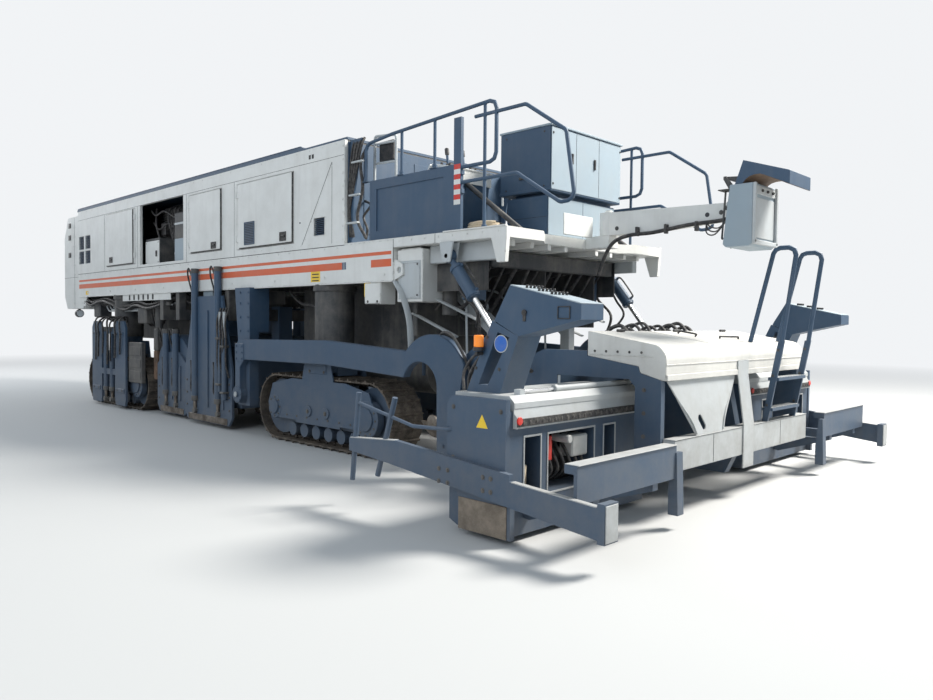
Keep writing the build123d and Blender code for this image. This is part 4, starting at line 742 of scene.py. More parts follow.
def latch(piece, x, side, z):
    """A dished plate with a paddle handle and a round lock."""
    y0 = SIDE + 0.026
    frame_around(piece, (x[0] + 0.014, x[1] - 0.014), span(side, y0, y0 + 0.010),
                 (z[0] + 0.014, z[1] - 0.014),
                 0.014, 0.003)
    piece.box((x[0] + 0.01, x[1] - 0.01), span(side, y0, y0 + 0.003), (z[0] + 0.01, z[1] - 0.01), 0.001)
    middle = (z[0] + z[1]) / 2
    piece.prism([(side * (y0 + 0.003), middle - 0.022), (side * (y0 + 0.018), middle + 0.006),
                 (side * (y0 + 0.018), middle + 0.016), (side * (y0 + 0.003), middle + 0.022)], "x",
                (x[0] + 0.03, x[1] - 0.045), 0.003)
    piece.rod((x[1] - 0.028, side * (y0 + 0.003), middle), (x[1] - 0.028, side * (y0 + 0.013), middle), 0.009,
              12)


BAY_BACK = 1.04


def service_bay_fit():
    """Louvred back wall, tank with filler and straps, cupboard door, filters, hoses and cables."""
    dark, steel_bits = fitting("bay_louvres", DARK), fitting("bay_steel", PALE)
    hose, cupboard = fitting("bay_hoses", RUBBER), fitting("bay_cupboard", WHITE)
    # The tank sheet takes the lighter slate copy: painted sunlight
    pale, black = fitting("bay_tank_sheet", SLATE_PAINTED_SUNLIT), fitting("bay_fittings", BLACK)
    slats(dark, (2.26, 3.40), (BAY_BACK + 0.045, BAY_BACK + 0.008), (3.12, 3.72), 14, 0.008, 0.02)
    tank_top = 3.48
    pale.box((1.70, 2.22), (1.390, 1.400), (2.66, 3.06), 0.004)
    for z in (2.80, 3.30):
        steel_bits.box((1.69, 2.235), (1.388, 1.397), (z, z + 0.035), 0.003)
    steel_bits.rod((1.95, 1.25, tank_top), (1.95, 1.25, tank_top + 0.07), 0.055, 20, 0.006)
    steel_bits.rod((1.95, 1.25, tank_top + 0.07), (1.95, 1.25, tank_top + 0.085), 0.065, 20, 0.004)
    cupboard.box((2.795, 3.365), (1.410, 1.422), (2.665, 3.085), 0.005)
    black.box((2.87, 2.925), (1.422, 1.436), (2.80, 2.905), 0.004)
    black.rod((2.897, 1.436, 2.859), (2.897, 1.442, 2.859), 0.014, 12)
    for x in (2.83, 3.33):
        for z in (2.70, 3.05):
            black.bolt((x, 1.422, z), (0, 1, 0), 0.007, 0.006)
    for x in (2.42, 2.50, 2.60):
        steel_bits.rod((x, 1.16, 2.90), (x, 1.16, 3.12), 0.036, 16, 0.006)
        black.rod((x, 1.16, 3.12), (x, 1.16, 3.18), 0.040, 16, 0.006)
    for step in range(7):
        x = 2.30 + step * 0.075
        drop = (0.62, 0.40, 0.75, 0.50, 0.68, 0.35, 0.55)[step]
        y = 1.20 + 0.035 * (step % 3)
        hose.hose([(x, y - 0.12, 3.70), (x + 0.01, y, 3.62), (x + 0.03, y + 0.02, 3.62 - drop * 0.5),
                   (x - 0.02, y - 0.01, 3.62 - drop), (x + 0.05, y - 0.12,
                                                       3.60 - drop)], 0.013 + 0.003 * (step % 2))
    hose.hose([(3.38, 1.30, 3.66), (3.1, 1.34, 3.55), (2.8, 1.33, 3.60), (2.5, 1.32, 3.50),
               (2.26, 1.30, 3.40)], 0.016)
    hose.hose([(3.38, 1.26, 3.45), (3.05, 1.30, 3.30), (2.7, 1.28, 3.38), (2.42, 1.22, 3.20)], 0.014)
    hose.hose([(3.30, 1.24, 3.70), (3.18, 1.30, 3.40), (3.12, 1.28, 3.20), (3.10, 1.25, 3.07)], 0.018)
    black.box((2.95, 3.12), (1.12, 1.24), (3.20, 3.42), 0.010)
    black.box((2.72, 2.86), (1.12, 1.22), (3.30, 3.44), 0.008)


# Front housing
def nose_trim():
    """Sheet seams, side vents, lamps and the front grille."""
    seam, rivet = fitting("nose_seams", SHADOW), fitting("nose_rivets", WHITE)
    dark, lamp = fitting("nose_lamp_bodies", BLACK), fitting("nose_lamp_glass", GLASS)
    slat = fitting("nose_grille", SLATE)
    low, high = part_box("front_housing")
    for side in BOTH:
        face = side * high[1]
        seam.rod((low[0], face, 2.58), (high[0], face, 2.58), 0.003, 6)
        seam.rod((7.12, face, 1.92), (7.12, face, 3.87), 0.003, 6)
        for step in range(9):
            for x in (6.66, 7.07, 7.17):
                rivet.bolt((x, face, 2.02 + step * 0.205), (0, side, 0), 0.008, 0.006)
        for z0 in (3.66, 3.40, 3.02):
            dark.box((7.34, 7.47), span(side, high[1], high[1] + 0.012), (z0, z0 + 0.11), 0.004)
            dark.box((7.36, 7.45), span(side, high[1] + 0.012, high[1] + 0.016), (z0 + 0.02, z0 + 0.09),
                     0.002)
        headlamp(dark, lamp, (7.06, side * 1.33, 1.80), -1)
        headlamp(dark, lamp, (7.60, side * 1.10, 2.02), 1)
    slats(slat, (7.750, 7.758), (-1.10, 1.10), (2.30, 2.31), 1)
    for row in range(14):
        z = 2.62 + row * 0.055
        slat.box((high[0], high[0] + 0.010), (-0.95, 0.95), (z, z + 0.030), 0.003)
    for y in (-0.98, 0.98):
        slat.box((high[0], high[0] + 0.012), (y - 0.02, y + 0.02), (2.58, 3.41), 0.003)


def headlamp(body, glass, place, ahead):
    """Round work lamp on a short bracket."""
    x, y, z = place
    body.rod((x - 0.05 * ahead, y, z), (x + 0.05 * ahead, y, z), 0.085, 20, 0.010)
    glass.rod((x + 0.045 * ahead, y, z), (x + 0.056 * ahead, y, z), 0.070, 20, 0.004)
    body.box((x - 0.03, x + 0.03), (y - 0.02, y + 0.02), (z + 0.07, z + 0.13), 0.004)


# Recess behind the engine housing
def recess_fit():
    """Slate sheet with hoses and clamps, the pale ladder-like frame and the rear wall's sheets."""
    sheet, hose = fitting("recess_sheets", SLATE), fitting("recess_hoses", RUBBER)
    rack, clamp = fitting("pale_rack", PALE), fitting("recess_clamps", PALE)
    black = fitting("recess_dark", BLACK)
    back = HOUSING_BACK
    sheet.box((back - 0.012, back), (-1.45, 1.45), (FRAME_HIGH + 0.03, HOUSING_HIGH - 0.02), 0.004)
    for y in (-0.85, 0.0, 0.85):
        sheet.box((back - 0.020, back - 0.012), (y - 0.36, y + 0.36), (2.78, 3.80), 0.005)
    for side in BOTH:
        sheet.prism([(back - 0.012, 3.925), (back - 0.24, 3.925), (back - 0.10, 3.30), (back - 0.05, 2.66),
                     (back - 0.012, 2.66)], "y", span(side, 1.40, 1.425), 0.004)
        for step in range(6):
            x = back - 0.07 - 0.032 * step
            y = side * (1.445 - 0.012 * (step % 2))
            lean = 0.10 + 0.035 * step
            hose.hose([(x - 0.02, y - side * 0.05, 3.93), (x - 0.01, y, 3.80),
                       (x + lean * 0.4, y + side * 0.006, 3.40),
                       (x + lean * 0.75, y, 3.05), (x + lean * 0.55, y - side * 0.02,
                                                    2.72)], 0.012 + 0.004 * (step % 2))
        hose.hose([(back - 0.30, side * 1.36, 3.85), (back - 0.22, side * 1.42, 3.62),
                   (back - 0.26, side * 1.42, 3.3),
                   (back - 0.16, side * 1.42, 2.95), (back - 0.30, side * 1.40, 2.70)], 0.020)
        for z, x in ((3.62, 0.17), (3.22, 0.12), (2.88, 0.08)):
            clamp.box((back - x - 0.13, back - x + 0.08), span(side, 1.425, 1.472), (z, z + 0.022), 0.003)
        rack.tube([(-2.99, side * 1.20, 3.40), (-2.99, side * 1.20, 3.98), (-3.40, side * 1.20, 3.94),
                   (-3.40, side * 1.20, 3.40)], 0.017, 0.05)
        for z in (3.86, 3.62):
            rack.rod((-2.99, side * 1.20, z + 0.02), (-3.40, side * 1.20, z), 0.014, 10)
        black.box((-3.32, -3.05), span(side, 1.12, 1.18), (3.66, 3.90), 0.008)
        hose.hose([(-2.95, side * 1.30, 2.70), (-3.0, side * 1.32, 2.82), (-2.9, side * 1.3, 2.98),
                   (-2.98, side * 1.25, 3.12), (-2.80, side * 1.2, 3.2)], 0.016)


# Platform
def platform_trim():
    """Rim seams, bolts, step plates, tape on the post, a hose coil and the under-floor beams."""
    seam, bolts = fitting("platform_seams", SHADOW), fitting("platform_bolts", WHITE)
    tread, red, white = fitting("platform_treads", PALE), fitting("tape_red", RED), fitting("tape_white",
                                                                                            WHITE)
    ribs, coil = fitting("platform_ribs", WHITE), fitting("platform_coil", SAND)
    top = 2.64
    for side in BOTH:
        face = side * SIDE
        seam.rod((-3.715, face, 2.36), (-3.715, face, 2.63), 0.003, 6)
        seam.rod((-4.42, face, 2.533), (-4.42, face, 2.636), 0.003, 6)
        for step in range(8):
            bolts.bolt((-5.35 + step * 0.22, face, 2.60), (0, side, 0), 0.009, 0.007)
        ribs.box((-5.452, -4.55), span(side, 1.47, 1.512), (top - 0.004, top + 0.012), 0.003)
        for step in range(8):
            z = 2.935 + step * 0.054
            (red if step % 2 else white).box((-4.73 + 0.006, -4.62 - 0.006), span(side, 1.420, 1.4215),
                                             (z, z + 0.054), 0)
        for step in range(4):
            y = side * (0.30 + step * 0.30)
            ribs.box((-5.30, -3.75), (y - 0.03, y + 0.03), (2.47, 2.53), 0.005)
        loops = []
        for step in range(64):
            angle = 2 * pi * step / 14
            spread = 0.13 - 0.004 * (step % 5)
            loops.append((-4.86 + cos(angle) * spread * 1.5, side * 1.20 + sin(angle) * spread,
                          top + 0.020 + 0.0013 * step))
        coil.sweep(loops, 0.012, 6)
    sign = fitting("blank_sign", WHITE)
    sign.box((-5.462, -5.450), (0.02, 0.56), (2.640, 2.870), 0.004)
    for y in (0.09, 0.47):
        sign.box((-5.450, -5.420), (y, y + 0.03), (2.640, 2.80), 0.004)
    for step in range(15):
        x = -5.25 + step * 0.165
        tread.box((x, x + 0.10), (-1.30, 1.30), (top, top + 0.004), 0.001)


def desk_trim():
    """White sloped consoles with knobs, dials, levers and a brace below each."""
    top, knob = fitting("desk_tops", WHITE), fitting("desk_knobs", BLACK)
    dial, red = fitting("desk_dials", PALE), fitting("desk_buttons", RED)
    brace = fitting("desk_braces", DARK)
    for side in BOTH:
        y0, y1 = 0.60, 1.20
        top.prism([(-4.02, 3.470), (-4.435, 3.386), (-4.445, 3.410), (-4.03, 3.500)], "y", span(side, y0, y1),
                  0.004)
        top.prism([(-3.90, 3.300), (-4.02, 3.472), (-4.00, 3.50), (-3.875, 3.32)], "y", span(side, y0, y1),
                  0.004)
        for row in range(2):
            for step in range(6):
                x, y = -4.10 - row * 0.13, side * (0.68 + step * 0.085)
                z = 3.487 - row * 0.027
                knob.rod((x, y, z), (x - 0.004, y, z + 0.028), 0.012 + 0.004 * (step % 2), 10, 0.002)
        for step in range(3):
            y = side * (0.72 + step * 0.12)
            dial.rod((-4.34, y, 3.428), (-4.344, y, 3.442), 0.036, 16, 0.003)
        for y in ((1.180, 1.188), (0.612, 0.620)):
            top.prism([(-4.42, 3.386), (-4.02, 3.470), (-3.90, 3.300), (-3.90, 3.170), (-4.42, 3.250)], "y",
                      span(side, *y), 0.002)
        top.box((-4.430, -4.420), span(side, y0 + 0.01, y1 - 0.01), (3.250, 3.390), 0.002)
        brace.rod((-4.25, side * 1.0, 3.36), (-5.252, side * 1.0, 2.642), 0.030, 12, 0.004)
        red.rod((-4.34, side * 1.12, 3.430), (-4.345, side * 1.12, 3.458), 0.022, 14, 0.004)
        for x, ly in ((-4.18, 0.80), (-4.12, 1.00)):
            knob.rod((x + 0.036, side * ly, 3.62), (x + 0.046, side * ly, 3.70), 0.026, 12, 0.008)
            knob.rod((x, side * ly, 3.44), (x + 0.006, side * ly, 3.50), 0.034, 12, 0.006)


def cabinet_trim():
    """Door edges, lips, hinges, handles and the seam between the two lockers."""
    edge, black = fitting("cabinet_edges", SLATE), fitting("cabinet_fittings", BLACK)
    # The lockers' rear sheets take the lighter slate copy: painted sunlight on the rear faces
    pale = fitting("cabinet_rear_sheets", SLATE_PAINTED_SUNLIT)
    seam = fitting("cabinet_seams", SHADOW)
    pale.box((-5.257, -5.250), (-0.84, 0.53), (3.16, 3.845), 0.004)
    pale.box((-5.206, -5.200), (-0.79, 0.51), (2.66, 3.085), 0.004)
    pale.box((-5.272, -4.50), (-0.862, 0.552), (3.856, 3.878), 0.004)
    edge.box((-5.262, -4.50), (0.540, 0.548), (3.145, 3.175), 0.003)
    for y in (-0.38, 0.07):
        seam.box((-5.2585, -5.2570), (y, y + 0.005), (3.17, 3.84), 0)
    seam.box((-5.2075, -5.2060), (-0.14, -0.135), (2.67, 3.08), 0)
    for y in (-0.30, 0.14):
        black.box((-5.275, -5.257), (y, y + 0.03), (3.48, 3.60), 0.005)
    for z in (3.22, 3.78):
        for y in (-0.82, 0.50):
            black.bolt((-5.257, y, z), (-1, 0, 0), 0.009, 0.007)
    for x in (-5.16, -4.60):
        for z in (3.20, 3.80):
            black.bolt((x, 0.540, z), (0, 1, 0), 0.008, 0.006)
    black.box((-4.92, -4.80), (0.540, 0.556), (3.30, 3.33), 0.004)
    seam.box((-5.19, -4.61), (0.520, 0.5212), (2.86, 2.864), 0)


def railing_trim():
    """Clamps and flanges at the feet of the rails."""
    clamp = fitting("rail_clamps", SLATE)
    for side in BOTH:
        y = side * 1.40
        for x, z in ((-3.07, 3.37), (-3.74, 3.37), (-4.30, 3.37), (-5.06, 2.64)):
            clamp.box((x - 0.055, x + 0.055), (y - 0.035, y + 0.035), (z, z + 0.012), 0.003)
            clamp.rod((x, y, z + 0.012), (x, y, z + 0.05), 0.029, 14, 0.004)
        for z in (3.05, 3.25):
            clamp.box((-4.745, -4.735), (y - 0.025, y + 0.025), (z, z + 0.05), 0.003)


def under_floor():
    """Hoses, pipes, plates and boxes in the dark space under the platform's floor."""
    hose, pipe = fitting("underfloor_hoses", RUBBER), fitting("underfloor_pipes", PALE)
    dark, box = fitting("underfloor_frames", DARK), fitting("underfloor_boxes", SLATE)
    dark.box((-3.82, -3.74), (-1.22, 1.22), (1.50, 2.50), 0.01)
    for side in BOTH:
        dark.box((-4.95, -3.72), span(side, 1.20, 1.215), (2.02, 2.46), 0)
    for y in (-0.90, 0.10):
        dark.box((-4.86, -3.80), (y, y + 0.02), (1.62, 2.46), 0.006)
    dark.box((-4.95, -4.86), (-1.15, 1.15), (2.28, 2.46), 0.01)
    for y in (-0.92, -0.45, 0.45, 0.92):
        dark.prism([(-3.80, 2.42), (-4.92, 2.42), (-4.92, 2.30), (-4.30, 2.22), (-3.80, 1.80)], "y",
                   (y - 0.02, y + 0.02), 0.004)
    for step in range(11):
        y = -1.05 + step * 0.21
        sag = (0.25, 0.42, 0.30, 0.55, 0.35, 0.48, 0.28, 0.60, 0.38, 0.50, 0.32)[step]
        hose.hose([(-3.78, y, 2.35), (-4.02, y + 0.03, 2.22 - sag * 0.6), (-4.35, y - 0.02, 2.16 - sag),
                   (-4.66, y + 0.04, 2.20 - sag * 0.5), (-4.90, y, 2.38)], 0.017 + 0.005 * (step % 3))
    for step in range(6):
        y = -0.9 + step * 0.36
        pipe.tube([(-3.80, y, 2.10), (-4.15, y, 2.06), (-4.40, y + 0.08, 1.90), (-4.42, y + 0.08, 1.30)],
                  0.014, 0.08)
    for side in BOTH:
        for start, end in (((-3.80, 2.055), (-4.80, 1.695)), ((-3.74, 1.772), (-4.46, 1.508))):
            pipe.sweep([(start[0], side * 1.20, start[1]), (end[0], side * 1.20, end[1])], 0.042, 8, 0.35)
        box.box((-4.72, -4.50), span(side, 0.98, 1.16), (1.92, 2.28), 0.012)
        dark.rod((-4.20, side * 1.05, 1.75), (-4.20, side * 1.05, 2.30), 0.09, 18, 0.01)
        hose.hose([(-4.62, side * 1.36, 2.30), (-4.76, side * 1.38, 2.16), (-4.86, side * 1.40, 1.98),
                   (-4.98, side * 1.40, 1.80), (-4.90, side * 1.33, 1.62)], 0.015)
        hose.hose([(-4.55, side * 1.30, 2.32), (-4.62, side * 1.30, 2.02), (-4.86, side * 1.28, 1.78),
                   (-4.82, side * 1.20, 1.48)], 0.018)


# Boom
def boom_trim():
    """Bolts, end flanges, hoses and clips of the boom, and the control box's sheets and rail."""
    bolt, hose = fitting("boom_bolts", DARK, "boom"), fitting("boom_hose", RUBBER, "boom")
    sheet, flange = fitting("console_sheets", PALE, "boom"), fitting("boom_flanges", PALE, "boom")
    clip, black = fitting("boom_clips", BLACK, "boom"), fitting("console_fittings", BLACK, "boom")
    left = -0.075  # the boom's left face
    for x, z in ((-5.72, 2.74), (-6.80, 2.79), (-6.95, 2.80), (-7.00, 2.84)):
        bolt.bolt((x, left, z), (0, 1, 0), 0.016, 0.010)
    for x in (-7.02, -7.075):
        flange.box((x, x + 0.010), (-0.235, -0.065), (2.72, 2.90), 0.004)
    hose.hose([(-5.50, -0.05, 2.22), (-5.58, -0.045, 2.42), (-5.70, -0.04, 2.58), (-5.90, -0.045, 2.645),
               (-6.20, -0.05, 2.655), (-6.60, -0.05, 2.70), (-6.95, -0.055, 2.715), (-7.08, -0.06,
                                                                                     2.74)], 0.021, 10)
    for x in (-6.0, -6.35, -6.7):
        clip.box((x - 0.015, x + 0.015), (-0.075, -0.022), (2.63, 2.73), 0.004)
    for reach in (0.0, 0.035, 0.07):
        hose.hose([(-6.80, -0.06, 2.72), (-6.86, -0.02 + reach, 2.66 - reach),
                   (-6.95, -0.02 + reach, 2.64 - reach),
                   (-7.02, -0.05, 2.71)], 0.007, 6)
        hose.hose([(-7.02, -0.09, 2.76), (-7.05 - reach * 0.3, -0.04 + reach, 2.62 - reach * 1.5),
                   (-7.09, 0.0, 2.50 - reach), (-7.13, 0.02, 2.46), (-7.14, 0.05, 2.55)], 0.006, 6)
    back, low, high = -7.42, 2.44, 3.00
    frame_y = (-0.265, 0.26)
    sheet.box((back - 0.028, back), (frame_y[0] - 0.004, frame_y[0] + 0.035), (low, high), 0.005)
    sheet.box((back - 0.028, back), (frame_y[1] - 0.035, frame_y[1] + 0.004), (low, high), 0.005)
    sheet.box((back - 0.028, back), frame_y, (low - 0.012, low + 0.03), 0.005)
    sheet.box((back - 0.006, back), (frame_y[0] + 0.05, frame_y[1] - 0.05), (low + 0.05, high - 0.13), 0.003)
    sheet.box((back - 0.012, back), (frame_y[0] + 0.035, frame_y[1] - 0.035), (high - 0.10, high - 0.02),
              0.004)
    for y in (-0.15, -0.03, 0.09):
        black.rod((back - 0.012, y, high - 0.06), (back - 0.030, y, high - 0.06), 0.014, 12, 0.003)
    rail = fitting("console_rail", DARK, "boom")
    rail.tube([(-7.115, 0.20, 2.50), (-7.095, 0.20, 2.50), (-7.125, 0.20, 2.96), (-7.16, 0.20, 2.96)], 0.010,
              0.02, 8)
    rail.box((-7.19, -7.075), (0.13, 0.27), (2.955, 2.965), 0.003)


def console_lid_trim():
    """Brown lining under the visor."""
    under = fitting("visor_lining", BROWN, "console_lid")
    arch = [(-7.312, 3.0003), (-7.345, 3.045), (-7.372, 3.0620), (-7.42, 3.0705), (-7.482, 3.0750)]
    lining = [(x, z - 0.003) for x, z in arch] + [(x, z + 0.0005) for x, z in reversed(arch)]
    under.prism(lining, "y", (-0.250, 0.245), 0)
    under.prism([(-7.482, 3.0720), (-7.745, 2.9430), (-7.745, 2.9465), (-7.482, 3.0755)], "y",
                (-0.250, 0.245), 0)


VISOR = ((-7.235, 3.0003), (-7.312, 3.220), (-7.750, 3.070), (-7.750, 2.945), (-7.482, 3.075),
         (-7.420, 3.0705),
         (-7.372, 3.062), (-7.345, 3.045), (-7.312, 3.0003))
VISOR_PIN = (-7.110, 3.085)


def console():
    """Leaning control box on its bracket and the arched visor, hinged on two ears ahead of the box."""
    # The control box shell takes the lighter slate copy: painted sunlight
    shell, ear = fitting("console_shell", SLATE_PAINTED_SUNLIT, "boom"), fitting("console_ears", DARK, "boom")
    shell.prism([(-7.130, 2.440), (-7.190, 3.000), (-7.420, 3.000), (-7.420, 2.440), (-7.390, 2.410),
                 (-7.160, 2.410)], "y", (-0.265, 0.260), 0.006)
    shell.box((-7.19, -7.08), (-0.20, -0.10), (2.75, 2.85), 0.004)
    visor, arm = fitting("console_visor", SLATE, "console_lid"), fitting("visor_ears", DARK, "console_lid")
    visor.prism(VISOR, "y", (-0.255, 0.250), 0.004)
    x, z = VISOR_PIN
    for side in BOTH:
        ear.prism([(-7.184, 2.950), (-7.200, 3.002), (x - 0.016, z + 0.014), (x + 0.014, z + 0.014),
                   (x + 0.014, z - 0.014), (-7.166, 2.95)], "y", span(side, 0.190, 0.198), 0.001)
        arm.prism([(-7.243, 3.020), (-7.262, 3.085), (x - 0.010, z + 0.012), (x + 0.012, z + 0.012),
                   (x + 0.012, z - 0.012), (x - 0.010, z - 0.014)], "y", span(side, 0.176, 0.184), 0.001)
    ear.rod((x, -0.202, z), (x, 0.202, z), 0.006, 12)


# Arms and towers
def arm_trim():
    """Bolted joints, pin caps, hose and cable runs on the tow arms."""
    bolt, cap = fitting("arm_bolts", SLATE, "screed"), fitting("arm_pin_caps", PALE)
    hose, plate = fitting("arm_hoses", RUBBER, "screed"), fitting("arm_plates", SLATE, "screed")
    for side in BOTH:
        out = side * 1.68
        plate.rod((-0.44, out, 0.60), (-0.44, out + side * 0.012, 0.60), 0.125, 24, 0.004)
        bolt_ring(bolt, (-0.44, out + side * 0.012, 0.60), side, 0.105, 8, 0.009, 0.008)
        cap.rod((-0.44, side * 1.705, 0.60), (-0.44, side * 1.722, 0.60), 0.040, 18, 0.005)
        plate.box((-0.62, -0.38), span(side, 1.68, 1.688), (1.08, 1.34), 0.008)
        for x in (-0.58, -0.42):
            for z in (1.12, 1.21, 1.30):
                bolt.bolt((x, side * 1.688, z), (0, side, 0), 0.012, 0.010)
        for x, z in ((-4.76, 0.36), (-4.76, 0.26), (-4.88, 0.36), (-4.88, 0.26)):
            bolt.bolt((x, out, z), (0, side, 0), 0.016, 0.013)
        hose.hose([(-4.60, side * 1.60, 1.50), (-4.70, side * 1.62, 1.56), (-4.85, side * 1.64, 1.52),
                   (-5.02, side * 1.66, 1.35), (-5.10, side * 1.60, 1.10), (-5.05, side * 1.56, 0.95)], 0.016)
        hose.hose([(-5.30, side * 1.62, 1.36), (-5.42, side * 1.70, 1.20), (-5.44, side * 1.74, 0.98),
                   (-5.38, side * 1.70, 0.78), (-5.20, side * 1.66, 0.60)], 0.015)
        hose.hose([(-5.38, side * 1.58, 1.34), (-5.52, side * 1.62, 1.16), (-5.55, side * 1.66, 0.95),
                   (-5.60, side * 1.60, 0.80)], 0.018)
        for step in range(4):
            reach = 1.74 + step * 0.045
            hose.hose([(-5.90, side * 1.60, 1.20), (-5.72, side * reach, 1.38 + 0.04 * step),
                       (-5.44, side * reach, 1.30), (-5.20 - 0.04 * step, side * reach, 1.08),
                       (-5.34, side * 1.76, 0.86), (-5.62, side * 1.66, 0.80)], 0.017)


def tower_trim():
    """Bolts and valve boxes by both tow towers, and the posts, pipes and hoses of the left rotor unit."""
    # The valve boxes take the lighter slate copy: painted sunlight
    bolt, box = fitting("tower_bolts", SLATE), fitting("valve_boxes", SLATE_PAINTED_SUNLIT)
    for side in BOTH:
        face = side * 1.5797
        for z in (1.52, 1.72, 1.92, 2.08):
            for x in (-0.56, -0.34):
                bolt.bolt((x, face, z), (0, side, 0), 0.013, 0.010)
        box.box((0.76, 1.06), span(side, 1.30, 1.46), (1.66, 2.14), 0.012)
        box.box((0.79, 1.03), span(side, 1.46, 1.468), (1.70, 2.10), 0.004)
    ride_pipe, ride_post = fitting("unit_pipes", PALE, "unit_rear"), fitting("unit_posts", SLATE, "unit_rear")
    ride_hose, clamp = fitting("unit_hoses", RUBBER, "unit_rear"), fitting("unit_clamps", DARK, "unit_rear")
    for x, low, thick in ((0.10, 0.46, 0.042), (0.24, 0.58, 0.030)):
        ride_post.rod((x, 1.60, low), (x, 1.60, low + 0.95), thick, 14, 0.006)
        ride_pipe.rod((x, 1.60, low + 0.95), (x, 1.60, 1.80), thick * 0.6, 12)
        for z in (low + 0.10, low + 0.80):
            clamp.box((x - 0.055, x + 0.055), (1.55, 1.655), (z, z + 0.03), 0.004)
    for step in range(4):
        x = 0.02 + step * 0.085
        ride_hose.hose([(x, 1.56, 1.86), (x + 0.01, 1.62, 1.66), (x - 0.03, 1.635, 1.36),
                        (x + 0.02, 1.61, 1.02),
                        (x, 1.57, 0.80)], 0.014 + 0.003 * (step % 2))


# Rotor units
UNITS = {"unit_rear": (-0.060, 1.540, 1), "unit_front": (1.640, 2.860, -1)}


def unit_trim():
    """Cylinder rods, brackets, hoses, ribs and worn edges of the rotor side plates."""
    for body, (x0, x1, tall) in UNITS.items():
        bolt, rod_piece = fitting(body + "_bolts", DARK, body), fitting(body + "_rods", TOOL, body)
        hose, rib = fitting(body + "_hoses", RUBBER, body), fitting(body + "_ribs", SLATE, body)
        cap, wear = fitting(body + "_caps", DARK, body), fitting(body + "_wear_strips", TOOL, body)
        for side in BOTH:
            near = 1.40 + (0.11 if side == tall else 0)
            far, top, head = near + 0.04, *((2.05, 2.48) if side == tall else (1.12, 1.50))
            wear.box((x0 + 0.16, x1 - 0.16), span(side, far, far + 0.010), (0.07, 0.17), 0.004)
            for x in (x0 + 0.30, (x0 + x1) / 2, x1 - 0.30):
                rib.prism([(x - 0.035, 0.30), (x + 0.035, 0.30), (x + 0.035, top - 0.30),
                           (x - 0.035, top - 0.22)],
                          "y", span(side, far, far + 0.018), 0.004)
            for x in (x0 + 0.42, x1 - 0.42):
                cap.rod((x, side * (far + 0.02), head - 0.06), (x, side * (far + 0.02), head + 0.015), 0.062,
                        16, 0.006)
                cap.rod((x, side * (far + 0.02), 0.38), (x, side * (far + 0.02), 0.46), 0.062, 16, 0.006)
                rod_piece.rod((x, side * (far + 0.02), 0.24), (x, side * (far + 0.02), 0.38), 0.028, 14)
                cap.rod((x, side * (far - 0.015), 0.22), (x, side * (far + 0.055), 0.22), 0.045, 14, 0.005)
                hose.hose([(x + 0.05, side * (far + 0.05), head - 0.10),
                           (x + 0.12, side * (far + 0.07), head + 0.02),
                           (x + 0.22, side * (far + 0.03), head - 0.10), (x + 0.24, side * (near - 0.02),
                                                                          head - 0.40)],
                          0.013)
                hose.hose([(x + 0.055, side * (far + 0.03), 0.50), (x + 0.11, side * (far + 0.04), 0.58),
                           (x + 0.10, side * (far + 0.035), 0.85), (x + 0.15, side * (far + 0.02),
                                                                    1.02)], 0.012)
            for x in (x0 + 0.10, x1 - 0.10):
                for z in (0.30, 0.50, 0.70):
                    bolt.bolt((x, side * far, z), (0, side, 0), 0.013, 0.011)


def rotor_picks():
    """Pointed picks in the tool holders, set as the holders are."""
    for drum, unit in (("drum_rear", "unit_rear"), ("drum_front", "unit_front")):
        x0, x1, _ = UNITS[unit]
        centre, half = (x0 + x1) / 2, 1.315
        pick = fitting(drum + "_picks", TOOL, drum)
        spacing = (half - 0.060) / 20
        for row in range(20):
            for side in BOTH:
                turn = radians(row * 40 + (180 if side < 0 else 0))
                y = side * (half - 0.030 - row * spacing)
                out = Vector((cos(turn), 0, -sin(turn)))
                along = Vector((sin(turn), 0, cos(turn)))
                seat = Vector((centre, y, 0.65)) + out * 0.480
                pick.rod(seat + along * 0.040, seat + along * 0.085 + out * 0.008, 0.022, 8)
                pick.rod(seat + along * 0.085 + out * 0.008, seat + along * 0.120 + out * 0.014, 0.012, 8)


# Crawlers
CRAWLERS = {"front": 4.600, "rear": -2.200}
CRAWLER_Y = 1.230
TRACK_LENGTH, TRACK_HEIGHT, TRACK_WIDTH = 3.000, 0.950, 0.500
SHOES = 40


def loop_place(run, radius):
    """X, Z and outward angle on the track's loop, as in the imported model."""
    straight = TRACK_LENGTH - TRACK_HEIGHT
    pitch_r = TRACK_HEIGHT / 2
    bend = pi * pitch_r
    run = run % (2 * straight + 2 * bend)
    if run < straight / 2:
        return run, -radius, -pi / 2
    run -= straight / 2
    if run < bend:
        turn = -pi / 2 + run / pitch_r
        return straight / 2 + radius * cos(turn), radius * sin(turn), turn
    run -= bend
    if run < straight:
        return straight / 2 - run, radius, pi / 2
    run -= straight
    if run < bend:
        turn = pi / 2 + run / pitch_r
        return -straight / 2 + radius * cos(turn), radius * sin(turn), turn
    return -straight / 2 + run - bend, -radius, -pi / 2


SHOE_PROFILE = ((-0.086, -0.046), (0.084, -0.046), (0.088, -0.036), (0.084, -0.026), (0.016, -0.024),
                (0.010, 0.0),
                (-0.008, 0.0), (-0.014, -0.024), (-0.070, -0.026), (-0.086, -0.036))


